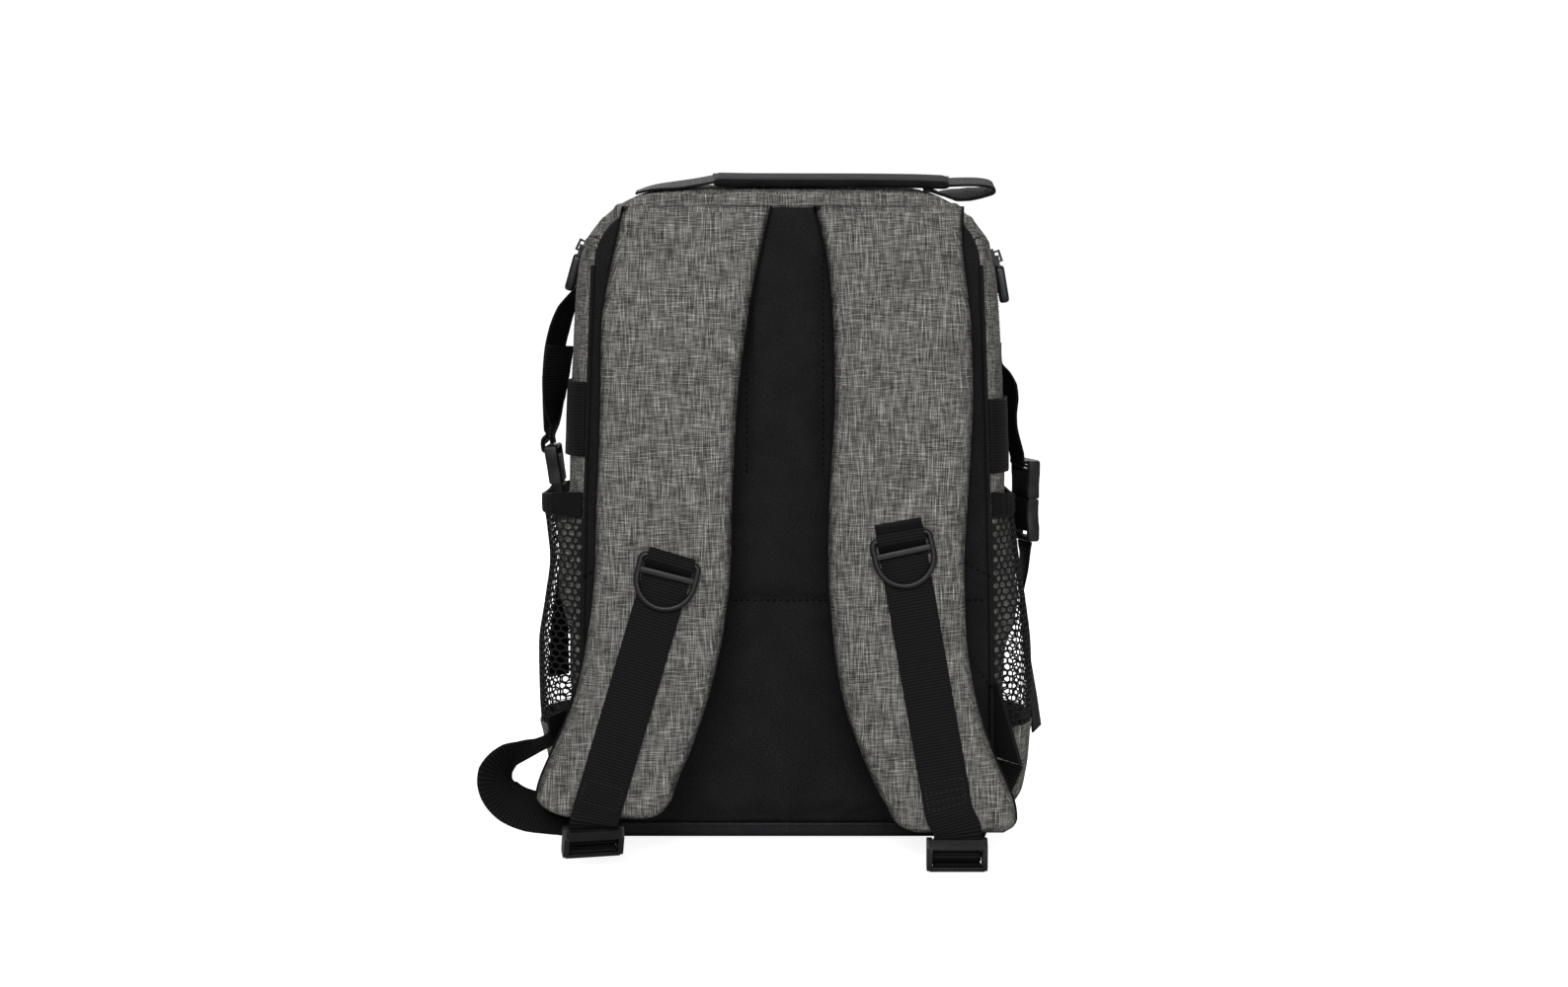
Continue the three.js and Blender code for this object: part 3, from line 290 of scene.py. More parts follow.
# How finely each part of a weave repeats to the metre, across and along
THREADS = ((2300, 70, 1), (95, 2300, 1))
SLUBS = ((1500, 32, 1), (36, 1500, 1))
SPECKLE = (1700, 1700, 1)
NAP = (1300, 1300, 1)
MOTTLE = (45, 45, 1)
YARN = (1500, 500, 1)
# The turn of the threads in radians, and the wave scale that gives ribs a millimetre apart
STAGGER = 0.4
RIB_SCALE = 314.16


def melange_cloth():
    """Grey cloth of dark and pale slub threads, crossing."""
    material, tree, shader = finish("melange_cloth", Roughness=0.95, Specular_IOR_Level=0.08)
    dark, mid, pale = (0.002, 0.0019, 0.0017), (0.061, 0.0594, 0.0557), (0.335, 0.327, 0.309)
    stops = ((0.27, dark), (0.49, mid), (0.75, pale))
    threads = []
    for scale in THREADS:
        fine = flat_noise(tree, weave_uv(tree, scale, STAGGER), 1.0)
        threads.append(ramp(tree, fine, *stops))
    woven = blend(tree, 0.43, threads[0], threads[1])
    for scale in SLUBS:
        slub = flat_noise(tree, weave_uv(tree, scale, STAGGER), 0.0)
        shade = ramp(tree, slub, (0.28, grey(0.8)), (0.52, grey(1)), (0.74, (1.32, 1.32, 1.3)))
        woven = blend(tree, 1.0, woven, shade, "MULTIPLY")
    grain = flat_noise(tree, weave_uv(tree, SPECKLE), 0.0)
    speckle = ramp(tree, grain, (0.3, grey(0.8)), (0.7, grey(1.24)))
    woven = blend(tree, 1.0, woven, speckle, "MULTIPLY")
    tree.links.new(woven, shader.inputs["Base Color"])
    bump(tree, shader, flat_noise(tree, weave_uv(tree, NAP), 2.0), 0.5, 0.0005)
    return material


def dark_cloth(name, low, high, grain, rough, lift):
    """Black cloth with a fine grain."""
    material, tree, shader = finish(name, Roughness=rough, Specular_IOR_Level=0.12)
    fine = flat_noise(tree, weave_uv(tree, (grain, grain * 1.3, 1)), 2.0)
    cloud = flat_noise(tree, weave_uv(tree, MOTTLE), 3.0)
    colour = ramp(tree, fine, (0.3, low), (0.7, high))
    mottle = ramp(tree, cloud, (0.3, grey(0.85)), (0.7, grey(1.12)))
    tree.links.new(blend(tree, 1.0, colour, mottle, "MULTIPLY"), shader.inputs["Base Color"])
    bump(tree, shader, fine, lift, 0.0006)
    return material


def ribbed_weave(name, pitch):
    """Black narrow weave, ribbed across at a pitch in millimetres."""
    material, tree, shader = finish(name, Roughness=0.7, Specular_IOR_Level=0.1)
    ribs = weave_uv(tree, (0, RIB_SCALE / pitch, 1))
    settings = {"Vector": ribs, "Scale": 1.0, "Distortion": 0.3, "Detail": 1.0}
    wave = add(tree, "ShaderNodeTexWave", settings, bands_direction="Y", wave_profile="SIN").outputs["Fac"]
    rib = blend(tree, 0.35, wave, flat_noise(tree, weave_uv(tree, YARN), 2.0))
    colour = ramp(tree, rib, (0.2, (0.0008, 0.0008, 0.0009)), (0.85, (0.0072, 0.0072, 0.0076)))
    tree.links.new(colour, shader.inputs["Base Color"])
    bump(tree, shader, rib, 0.7, 0.0006)
    return material


def moulded(name, colour, rough, grain=900.0, lift=0.08, metal=0.0):
    """Moulded plastic or plated metal with a slight grain and rubbed patches."""
    material, tree, shader = finish(name, Roughness=rough, Specular_IOR_Level=0.3, Metallic=metal)
    coords = add(tree, "ShaderNodeTexCoord").outputs["Object"]
    fine = solid_noise(tree, coords, grain, 2.0)
    patch = solid_noise(tree, coords, 160.0, 3.0)
    pale = tuple(c * 1.7 for c in colour)
    tree.links.new(ramp(tree, patch, (0.35, colour), (0.75, pale)), shader.inputs["Base Color"])
    settings = {"Value": patch, "From Min": 0.3, "From Max": 0.7, "To Min": rough - 0.06, "To Max": rough + 0.1}
    tree.links.new(add(tree, "ShaderNodeMapRange", settings).outputs["Result"], shader.inputs["Roughness"])
    bump(tree, shader, fine, lift, 0.0004)
    return material


def smooth_sleeve():
    """The handle's smooth sleeve, with a fine pebble grain."""
    material, tree, shader = finish("smooth_sleeve", Roughness=0.75, Specular_IOR_Level=0.06)
    coords = add(tree, "ShaderNodeTexCoord").outputs["Object"]
    cells = add(tree, "ShaderNodeTexVoronoi", {"Vector": coords, "Scale": 1100.0}).outputs["Distance"]
    patch = solid_noise(tree, coords, 60.0, 3.0)
    colour = ramp(tree, patch, (0.3, (0.003, 0.0031, 0.0034)), (0.7, (0.0065, 0.0067, 0.0072)))
    tree.links.new(colour, shader.inputs["Base Color"])
    bump(tree, shader, cells, 0.12, 0.0004)
    return material


MELANGE = melange_cloth()
KNIT = dark_cloth("knit_cloth", (0.0006, 0.0006, 0.0007), (0.0175, 0.0175, 0.0178), 1300, 0.95, 0.9)
LINING = dark_cloth("lining_cloth", (0.0035, 0.0035, 0.0038), (0.009, 0.009, 0.0095), 1700, 0.85, 0.4)
BASE_CLOTH = dark_cloth("base_cloth", (0.012, 0.0122, 0.0132), (0.03, 0.0305, 0.033), 900, 0.8, 0.6)
WEBBING = ribbed_weave("webbing_weave", 1.9)
ELASTIC = ribbed_weave("elastic_weave", 1.3)
NET = dark_cloth("net_thread", (0.004, 0.004, 0.0043), (0.011, 0.011, 0.0115), 2200, 0.7, 0.3)
ZIP_TAPE = dark_cloth("zip_tape_cloth", (0.004, 0.004, 0.0043), (0.01, 0.01, 0.0105), 1500, 0.8, 0.4)
THREAD_DARK = dark_cloth("dark_thread", (0.012, 0.012, 0.0125), (0.034, 0.034, 0.035), 2500, 0.7, 0.3)
# Near-black thread, darker than the knit: the thread's own colour plus painted shade of the needle holes along the
# panel's channels
THREAD_AND_HOLE_SHADE = dark_cloth("black_thread_hole_shade", (0.0004, 0.0004, 0.0005), (0.0012, 0.0012, 0.0013), 2500, 0.9, 0.3)
PLASTIC = moulded("moulded_plastic", (0.0035, 0.0035, 0.0038), 0.42)
ZIP_TEETH = moulded("zip_coil", (0.0035, 0.0035, 0.0038), 0.42)
ZIP_METAL = moulded("plated_metal", (0.012, 0.0125, 0.014), 0.3, 500.0, 0.05, 0.4)
SLEEVE = smooth_sleeve()
# Light grey for the piping on the handle sleeve's edge: a painted highlight of the edge catching the light
HIGHLIGHT_GREY = dark_cloth("sleeve_painted_highlight", (0.1, 0.102, 0.11), (0.17, 0.174, 0.185), 1500, 0.6, 0.3)


# Making pieces

FACE_AXES = {0: (1, 2), 1: (0, 2), 2: (0, 1)}


def lay_weave(bm):
    """Lays the weave flat on each face, in metres, from the side that it faces most."""
    layer = bm.loops.layers.uv.new("weave")
    bm.normal_update()
    for face in bm.faces:
        across, up = FACE_AXES[max(range(3), key=lambda i: abs(face.normal[i]))]
        for loop in face.loops:
            loop[layer].uv = (loop.vert.co[across], loop.vert.co[up])


def make(name, bm, material, replaces=(), body="bag", weave=True):
    """Turns a bmesh in millimetres into a piece of the bag."""
    bmesh.ops.scale(bm, vec=(MM, MM, MM), verts=bm.verts)
    if weave:
        lay_weave(bm)
    mesh = bpy.data.meshes.new(name)
    bm.to_mesh(mesh)
    bm.free()
    mesh.materials.append(material)
    mesh.polygons.foreach_set("use_smooth", [True] * len(mesh.polygons))
    piece = bpy.data.objects.new(name, mesh)
    bpy.context.scene.collection.objects.link(piece)
    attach(piece, body)
    if replaces:
        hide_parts(*replaces)
    return piece


def grid(bm, columns, rows, place):
    """A grid laid out by place(u, v), u and v from 0 to 1. Returns its points with their u and v."""
    made = bmesh.ops.create_grid(bm, x_segments=columns, y_segments=rows, size=0.5)["verts"]
    spots = [(vert, vert.co.x + 0.5, vert.co.y + 0.5) for vert in made]
    for vert, u, v in spots:
        vert.co = Vector(place(u, v))
    return spots


def face_out(bm, out):
    """Turns an open sheet's faces the way out points."""
    bm.normal_update()
    middle = sum((face.normal * face.calc_area() for face in bm.faces), Vector())
    if middle.dot(Vector(out)) < 0:
        bmesh.ops.reverse_faces(bm, faces=bm.faces)


def round_off(piece):
    smooth = piece.modifiers.new("round", "SUBSURF")
    smooth.levels = smooth.render_levels = 1


def thicken(piece, thick, offset=-1.0):
    wall = piece.modifiers.new("wall", "SOLIDIFY")
    wall.thickness = thick * MM
    wall.offset = offset
    wall.use_even_offset = True


def laid_cloth(name, columns, rows, place, out, material, node, thick, offset=-1.0):
    """One layer of cloth for a CAD node, laid out by place(u, v), with its face the way out points."""
    bm = bmesh.new()
    grid(bm, columns, rows, place)
    face_out(bm, out)
    piece = make(name, bm, material, (node,))
    thicken(piece, thick, offset)
    return piece


PUFF = {"frames": 20, "quality": 6, "damping": 3}


def puff(piece, sewn, pressure, slack, cap):
    """Fills a cloth piece out between its sewn points with air, and keeps every point within cap of its start."""
    scene = bpy.context.scene
    group = piece.vertex_groups.new(name="sewn")
    group.add(sewn, 1.0, "REPLACE")
    cloth = piece.modifiers.new("cloth", "CLOTH")
    settings = cloth.settings
    settings.quality = PUFF["quality"]
    settings.vertex_group_mass = "sewn"
    settings.use_pressure = True
    settings.uniform_pressure_force = pressure
    settings.shrink_min = -slack
    settings.effector_weights.gravity = 0
    settings.air_damping = PUFF["damping"]
    cloth.collision_settings.use_collision = False
    cloth.point_cache.frame_end = PUFF["frames"]
    for number in range(1, PUFF["frames"] + 1):
        scene.frame_set(number)
    shaped = piece.evaluated_get(bpy.context.evaluated_depsgraph_get()).data
    moved = [vert.co.copy() for vert in shaped.vertices]
    piece.modifiers.remove(cloth)
    piece.vertex_groups.remove(group)
    for vert, at in zip(piece.data.vertices, moved):
        step = at - vert.co
        if step.length > cap * MM:
            step *= cap * MM / step.length
        vert.co += step
    piece.data.update()
    scene.frame_set(1)


def pad(name, columns, rows, shape, material, slot, node, sewn=None):
    """A closed pad: two faces, shape(u, v, top), that meet along the rim. Returns it and its sewn points."""
    bm = bmesh.new()
    mark = bm.verts.layers.int.new("sewn")
    for top in (True, False):
        for vert, u, v in grid(bm, columns, rows, lambda u, v: shape(u, v, top)):
            vert[mark] = int(on_rim(u, v) or not top or bool(sewn and sewn(vert.co)))
    bmesh.ops.remove_doubles(bm, verts=bm.verts, dist=0.02)
    bmesh.ops.recalc_face_normals(bm, faces=bm.faces)
    points = [i for i, vert in enumerate(bm.verts) if vert[mark]]
    bm.verts.layers.int.remove(mark)
    return make(name, bm, material, (node,)), points


def edges_at(verts):
    return {edge for vert in verts for edge in vert.link_edges}


def round_edges(bm, edges, offset, segments):
    return bmesh.ops.bevel(
        bm,
        geom=list(edges),
        offset=offset,
        affect="EDGES",
        segments=segments,
        profile=0.5,
        material=-1,
        clamp_overlap=True,
    )


def turned_to(x, y, z):
    """The turn that lays the three axes along the directions given."""
    return Matrix((x, y, z)).transposed().to_4x4()


def tube(bm, points, radius, sides, normal=None):
    """A round rod along a line of points, closed to a ring where its normal is given."""
    closed = normal is not None
    rings = []
    count = len(points)
    for i, point in enumerate(points):
        before = points[(i - 1) % count] if closed or i else points[0]
        after = points[(i + 1) % count] if closed or i < count - 1 else points[-1]
        along = (after - before).normalized()
        up = normal if closed else Vector((0, 0, 1)) if abs(along.z) < 0.9 else Vector((1, 0, 0))
        side = along.cross(up).normalized()
        up = side.cross(along)
        turn = turned_to(side, up, along)
        place = Matrix.Translation(point) @ turn
        capped = not closed and i in (0, count - 1)
        ring = bmesh.ops.create_circle(bm, cap_ends=capped, segments=sides, radius=radius, matrix=place)
        rings.append(ring["verts"])
    for one, other in zip(rings, rings[1:] + rings[:1] if closed else rings[1:]):
        edges = [e for ring in (one, other) for e in edges_at(ring) if all(v in ring for v in e.verts)]
        bmesh.ops.bridge_loops(bm, edges=edges)
    bmesh.ops.recalc_face_normals(bm, faces=bm.faces)


STITCH_SLACK = 0.01


def stitches(bm, points, normal, thread):
    """A row of stitches lying along a line of points. Thread gives their pitch, length and radius."""
    pitch, length, radius = thread
    travelled, due = 0.0, pitch / 2
    for a, b in zip(points, points[1:]):
        span = (b - a).length
        while span > TINY and due <= travelled + span - STITCH_SLACK:
            at = a.lerp(b, (due - travelled) / span)
            along = (b - a).normalized()
            side = normal.cross(along).normalized()
            turn = turned_to(along, side, along.cross(side))
            size = Matrix.Diagonal((length / 2, radius, radius, 1))
            place = Matrix.Translation(at) @ turn @ size
            bmesh.ops.create_uvsphere(bm, u_segments=6, v_segments=4, radius=1, matrix=place)
            due += pitch
        travelled += span


def cad_copy(node):
    """A merged copy of a CAD node's mesh, in millimetres."""
    bm = bmesh.new()
    bm.from_mesh(frame["nodes"][node].data)
    bmesh.ops.scale(bm, vec=(1 / MM,) * 3, verts=bm.verts)
    bmesh.ops.remove_doubles(bm, verts=bm.verts, dist=0.002)
    return bm


FLAT_ANGLE = math.radians(1)
SHARP_ANGLE = math.radians(50)


def soften(piece, name, width, angle):
    """Rounds over the edges that turn more than an angle in degrees."""
    edge = piece.modifiers.new(name, "BEVEL")
    edge.width = width * MM
    edge.segments = 2
    edge.limit_method = "ANGLE"
    edge.angle_limit = math.radians(angle)
    return edge


def moulding(name, node, material, width):
    """A hard piece: the CAD shape with its edges rounded over."""
    bm = cad_copy(node)
    bmesh.ops.dissolve_limit(bm, angle_limit=FLAT_ANGLE, verts=bm.verts, edges=bm.edges)
    piece = make(name, bm, material, (node,))
    soften(piece, "edge", width, 28).harden_normals = True
    piece.data.set_sharp_from_angle(angle=SHARP_ANGLE)
    return piece


def rounded(point):
    return point.to_tuple(2)


def ribbon_stations(node, width, thick):
    """The middle, width direction and normal of each station of a CAD ribbon, from one end to the other."""
    bm = cad_copy(node)
    near = 0.03
    diagonal = math.hypot(width, thick)

    def is_cap(face):
        sizes = sorted(edge.calc_length() for edge in face.edges)
        return all(abs(a - b) < near for a, b in zip(sizes, (thick, width, diagonal)))

    found = []
    caps = [face for face in bm.faces if len(face.verts) == 3 and is_cap(face)]
    for one in caps:
        for edge in one.edges:
            for other in edge.link_faces:
                if other in caps and other is not one and other.normal.dot(one.normal) > 0.999:
                    layers = [set(one.verts) | set(other.verts)]
                    seen = set(layers[0])
                    while layers[-1]:
                        step = {e.other_vert(v) for v in layers[-1] for e in v.link_edges} - seen
                        seen |= step
                        layers.append(step)
                    layers.pop()
                    if all(len(layer) == 4 for layer in layers) and len(seen) == len(bm.verts):
                        found = [sorted((v.co.copy() for v in layer), key=rounded, reverse=True) for layer in layers]
    bm.free()
    if rounded(found[0][0]) > rounded(found[-1][0]):
        found.reverse()
    stations, across, normal = [], None, None
    for corners in found:
        middle = sum(corners, Vector()) / 4
        first = corners[0]
        steps = sorted((c - first for c in corners[1:]), key=lambda step: step.length)
        thin, wide = steps[0].normalized(), steps[1].normalized()
        across = wide if across is None or wide.dot(across) > 0 else -wide
        normal = thin if normal is None or thin.dot(normal) > 0 else -thin
        stations.append((middle, across.copy(), normal.copy()))
    return stations


def curve_point(stations, at):
    """A smooth point between stations, with its width direction and normal."""
    last = len(stations) - 1
    i = min(int(at), last - 1)
    t = at - i
    a, b, c, d = (stations[clamp(i + k, 0, last)][0] for k in (-1, 0, 1, 2))
    middle = smooth_step(b, c, (c - a) * 0.5, (d - b) * 0.5, t)
    across = stations[i][1].lerp(stations[i + 1][1], t).normalized()
    normal = stations[i][2].lerp(stations[i + 1][2], t).normalized()
    return middle, across, normal


def holds_sleeve(point):
    """Whether a point lies at one of the sleeve's open ends, where the webbing runs on inside."""
    return any(abs(point.x - GRIP_ROWS[k]["x"]) < 3 and point.z > GRIP_ROWS[k]["z"] - 4 for k in (0, -1))


WEB = {"finer": 3, "columns": 6, "selvedge": 0.45}


def webbing(name, node, size):
    """A length of flat webbing along a CAD ribbon. Returns the line that it follows."""
    width, thick = size
    stations = ribbon_stations(node, width, thick)
    count = (len(stations) - 1) * WEB["finer"]
    line = [curve_point(stations, k / WEB["finer"]) for k in range(count + 1)]
    if holds_sleeve(line[0][0]):
        line.reverse()
    if holds_sleeve(line[-1][0]):
        middle, across, normal = line[-1]
        onward = (middle - line[-2][0]).normalized()
        line.append((middle + onward * HANDLE["tuck"], across, normal))
    rows = len(line) - 1
    lengths = [0.0]
    for a, b in zip(line, line[1:]):
        lengths.append(lengths[-1] + (b[0] - a[0]).length)
    bm = bmesh.new()
    spots = []

    def place(u, v):
        middle, across, _ = line[round(v * rows)]
        spots.append(((u - 0.5) * width, lengths[round(v * rows)]))
        return middle + across * ((u - 0.5) * width)

    made = grid(bm, WEB["columns"], rows, place)
    weave = {vert: spot for (vert, _, _), spot in zip(made, spots)}
    layer = bm.loops.layers.uv.new("weave")
    for face in bm.faces:
        for loop in face.loops:
            across, along = weave[loop.vert]
            loop[layer].uv = (across * MM, along * MM)
    piece = make(name, bm, WEBBING, (node,), weave=False)
    thicken(piece, thick, offset=0.0)
    soften(piece, "selvedge", WEB["selvedge"], 60)
    return line


def levels(node):
    """The rows of a CAD strap: its left and right edge, back and face at each level."""
    rows = {}
    for vert in frame["nodes"][node].data.vertices:
        x, y, z = (c / MM for c in vert.co)
        rows.setdefault(round(z, 1), []).append((x, y))
    table = []
    for z, spots in sorted(rows.items()):
        xs, ys = zip(*spots)
        table.append({"z": z, "left": min(xs), "right": max(xs), "face": min(ys), "back": max(ys)})
    return table


# Studio

camera = bpy.data.objects.new("camera", bpy.data.cameras.new("camera"))
camera.data.lens = 50
camera.data.sensor_width = 36
camera.location = (-0.002, -1.480, 0.360)
camera.rotation_euler = (math.radians(90 - 5.3), 0, 0)
bpy.context.scene.collection.objects.link(camera)
bpy.context.scene.camera = camera
bpy.context.scene.view_settings.view_transform = "Standard"


FLOOR_GLOW = 0.86
LAMP_AIM = Vector((0, 0, 0.22))


def studio_floor():
    bm = bmesh.new()
    bmesh.ops.create_grid(bm, x_segments=2, y_segments=2, size=8)
    mesh = bpy.data.meshes.new("studio_floor")
    bm.to_mesh(mesh)
    bm.free()
    values = {"Roughness": 0.85, "Base_Color": (0.5, 0.5, 0.5, 1), "Emission_Color": (1, 1, 1, 1)}
    material, tree, shader = finish("pale_floor", **values)
    seen = add(tree, "ShaderNodeLightPath").outputs["Is Camera Ray"]
    glow = add(tree, "ShaderNodeMath", {0: seen, 1: FLOOR_GLOW}, operation="MULTIPLY")
    tree.links.new(glow.outputs[0], shader.inputs["Emission Strength"])
    mesh.materials.append(material)
    floor = bpy.data.objects.new("studio_floor", mesh)
    bpy.context.scene.collection.objects.link(floor)


def lamp(name, at, size, power):
    light = bpy.data.objects.new(name, bpy.data.lights.new(name, "AREA"))
    light.data.size = size
    light.data.energy = power
    light.location = at
    light.rotation_euler = (LAMP_AIM - Vector(at)).to_track_quat("-Z", "Y").to_euler()
    bpy.context.scene.collection.objects.link(light)


studio_floor()
lamp("key_light", (-0.5, -2.8, 1.8), size=1.4, power=70)
lamp("fill_light", (0.9, -2.8, 1.0), size=1.4, power=27)
lamp("far_light", (-0.9, 2.8, 1.3), size=1.6, power=34)
lamp("top_light", (0.2, 1.6, 2.4), size=2.2, power=58)
world = bpy.data.worlds.new("studio_air")
world.use_nodes = True
air = world.node_tree
soft = air.nodes["Background"]
soft.inputs["Strength"].default_value = 0.3
soft.inputs["Color"].default_value = (1, 1, 1, 1)
white = add(air, "ShaderNodeBackground", {"Color": (1, 1, 1, 1), "Strength": 1.05})
seen = add(air, "ShaderNodeLightPath").outputs["Is Camera Ray"]
sky = add(air, "ShaderNodeMixShader", {0: seen, 1: soft.outputs[0], 2: white.outputs[0]})
air.links.new(sky.outputs[0], air.nodes["World Output"].inputs["Surface"])
bpy.context.scene.world = world


# Body cloth


def parts(spans):
    return sum(span[2] for span in spans)


def spread(spans, t):
    """A value from a list of spans (from, to, parts), t running from 0 to 1 part by part."""
    at = t * parts(spans)
    for low, high, count in spans:
        if at <= count + 1e-9:
            return lerp(low, high, at / count)
        at -= count
    return spans[-1][1]


def zip_place(name):
    s = section(ZIP["from"])
    low = s["floor"] + s["low_arc"]
    return 2 + (ZIP["ends"][name] - low) / (s["roof"] - s["top_arc"] - low)


def dent(point, edge, deep, size, seed):
    """How far cloth sinks at a point, fading out towards its seams."""
    sag = 0.5 + 0.5 * ripple(point, size, seed)
    fold = 1 - abs(ripple((point[0], point[1] * 1.4, point[2] * 0.55), size * 0.55, seed + 3))
    return -deep * edge * clamp(0.55 * sag + 0.6 * max(0, fold - 0.55))


STUFFING = {"high": 224, "high_fade": 14, "back": 6, "back_fade": 20, "front": 50, "front_fade": 14, "most": 9}
STUFFING_SIDE = {
    "left": {"low": 130, "low_fade": 45, "share": 0.62},
    "right": {"low": 116, "low_fade": 40, "share": 0.76},
}


def stuffing(side, depth, z):
    """How far the filled side swells behind the upper half of a pocket's net, short of the net itself."""
    own = STUFFING_SIDE[side]
    level = ease((z - own["low"]) / own["low_fade"]) * ease((STUFFING["high"] - z) / STUFFING["high_fade"])
    crest = ease((depth - STUFFING["back"]) / STUFFING["back_fade"])
    crest *= ease((STUFFING["front"] - depth) / STUFFING["front_fade"])
    return level * crest * min(STUFFING["most"], own["share"] * read(POCKET_ROWS, "z", z, side))


SLOT = (ZIP["from"] - GAP, ZIP["to"] + GAP)
SEAM_ROOM = {"lower": 0.007, "upper": 0.0035}
SIDE_FADE = {"seam": 16, "end": 0.06, "zip": 14, "below_zip": 0.03}
BODY_DEPTHS = [(0, SLOT[0], 14), (SLOT[0], SLOT[1], 3), (SLOT[1], FRONT_DEPTH, 20)]

for side, sign in SIDES:
    end = zip_place(side)
    places = [(LOWER_SEAM + SEAM_ROOM["lower"], end, 70), (end, UPPER_SEAM - SEAM_ROOM["upper"], 44)]

    def side_cloth(u, v):
        depth = spread(BODY_DEPTHS, u)
        t = spread(places, v)
        point = outline(depth, sign * t)
        edge = ease(min(depth, FRONT_DEPTH - depth) / SIDE_FADE["seam"]) * ease(min(v, 1 - v) / SIDE_FADE["end"])
        edge *= ease(abs(depth - ZIP_MIDDLE) / SIDE_FADE["zip"]) if t > end - SIDE_FADE["below_zip"] else 1
        sunk = dent(point, edge, deep=3.2, size=46, seed=1 + sign)
        return point + outward(depth, sign * t) * (sunk + stuffing(side, depth, point.z))

    bm = bmesh.new()
    made = grid(bm, parts(BODY_DEPTHS), parts(places), side_cloth)
    spot = {vert: (spread(BODY_DEPTHS, u), spread(places, v)) for vert, u, v in made}
    opened = []
    for face in bm.faces:
        depth, t = (sum(spot[v][k] for v in face.verts) / 4 for k in (0, 1))
        if SLOT[0] < depth < SLOT[1] and t > end:
            opened.append(face)
    bmesh.ops.delete(bm, geom=opened, context="FACES")
    face_out(bm, (sign, 0, 0))
    cloth = make(f"side_cloth_{side}", bm, MELANGE, (f"side_panel_{side}",))
    thicken(cloth, CLOTH_THICK)
    round_off(cloth)

TOP_SPANS = [(UPPER_SEAM, 4, 20), (4, TOP_MIDDLE, 26)]
TOP_SEAM = {"fade": 0.35, "ridge": (2.0, 8.5, 3.0), "groove": (2.6, 2.8, 1.6)}
TOP_FADE = {"seam": 10, "end": 0.05}
PLEAT = {"from": 0.08, "to": 0.62, "fade": 0.2, "back": 3, "deep": 26, "deep_fade": 14}
PLEAT |= {"high": 1.5, "pitch": 0.17, "slant": 60, "sunk": 1.0}


def top_place(t):
    return spread(TOP_SPANS, 2 * t) if t <= 0.5 else -spread(TOP_SPANS, 2 - 2 * t)


def top_relief(depth, place):
    """The rolled seam along the top's back edge: a groove just behind the straps and a ridge above it."""
    fade = ease((abs(place) - UPPER_SEAM) / TOP_SEAM["fade"])
    lines = (TOP_SEAM["ridge"], TOP_SEAM["groove"])
    ridge, groove = (high * math.exp(-(((depth - at) / wide) ** 2)) for high, at, wide in lines)
    return fade * (ridge - groove)


def pleat(depth, place):
    """Small folds gathered round each upper corner, dying away towards the zip."""
    t = abs(place) - UPPER_SEAM
    window = ease(t / PLEAT["from"]) * ease((PLEAT["to"] - t) / PLEAT["fade"])
    window *= ease(depth / PLEAT["back"]) * ease((PLEAT["deep"] - depth) / PLEAT["deep_fade"])
    turns = t / PLEAT["pitch"] + depth / PLEAT["slant"]
    return window * (PLEAT["high"] * math.sin(2 * math.pi * turns) - PLEAT["sunk"])


for name, spans, seed in (
    ("top_back", [(0, 14, 14), (14, SLOT[0], 12)], 5),
    ("top_front", [(SLOT[1], FRONT_DEPTH, 24)], 8),
):
    first, last = spans[0][0], spans[-1][1]

    def top_cloth(u, v):
        depth, place = spread(spans, v), top_place(u)
        point = outline(depth, place)
        edge = ease(min(depth - first, last - depth) / TOP_FADE["seam"]) * ease(min(u, 1 - u) / TOP_FADE["end"])
        out = outward(depth, place)
        relief = top_relief(depth, place) + pleat(depth, place) if name == "top_back" else 0
        return point + out * (dent(point, edge, deep=1.6, size=40, seed=seed) + relief)

    columns, rows = 2 * parts(TOP_SPANS), parts(spans)
    node = f"{name}_panel"
    cloth = laid_cloth(f"{name}_cloth", columns, rows, top_cloth, (0, 0, 1), MELANGE, node, CLOTH_THICK)
    round_off(cloth)


BASE_DEPTHS = [(0, 20, 10), (20, FRONT_DEPTH, 26)]


def base_cloth(u, v):
    place = lerp(-LOWER_SEAM, LOWER_SEAM, u)
    return outline(spread(BASE_DEPTHS, v), place)


columns, rows = 72, parts(BASE_DEPTHS)
cloth = laid_cloth(
    "base_cloth", columns, rows, base_cloth, (0, 0, -1), BASE_CLOTH, "base_panel", CLOTH_THICK
)


def front_cloth(u, v):
    a, b = (math.sin(k * math.pi / 2) * 0.35 + k * 0.65 for k in (2 * u - 1, 2 * v - 1))
    s = section(FRONT_DEPTH)
    z = lerp(s["floor"] + 0.5, s["roof"] - 0.5, (b + 1) / 2)
    x = a * (half_width(FRONT_DEPTH, z) - 0.5)
    flat = s["upper"] - s["top_arc"]
    z += s["crown"] * max(0, 1 - (x / flat) ** 2) * ((b + 1) / 2) ** 8
    swell = math.prod(math.sqrt(max(0, 1 - abs(k) ** 5)) for k in (a, b))
    y = SEAM_Y + FRONT_DEPTH + GAP + FRONT_BULGE * swell
    edge = ease(min(1 - abs(a), 1 - abs(b)) / 0.2)
    return Vector((x, y + dent((x, 0, z), edge, deep=2.6, size=60, seed=11), z))


cloth = laid_cloth(
    "front_cloth", 76, 104, front_cloth, (0, 1, 0), MELANGE, "front_panel", CLOTH_THICK
)
round_off(cloth)

PANEL_FACE = PANEL["pad"] - 1.4
PANEL_HEM = 1.2
SEWN_ABOVE = 388
CHANNEL = {"wide": 2.6, "from": 240, "to": 404, "fade": 6}
CROSS_LINE = 161
UPRIGHT_LINES = (-26, 23.2)
EDGE_LINES = (((114, 185.5), (133, 176)), ((118, 122.5), (133, 104)))
EDGE_LINE = {"share": 0.7, "wide": 2.4, "lead": 3, "fade": 5}
SEWN_LINE = 0.55


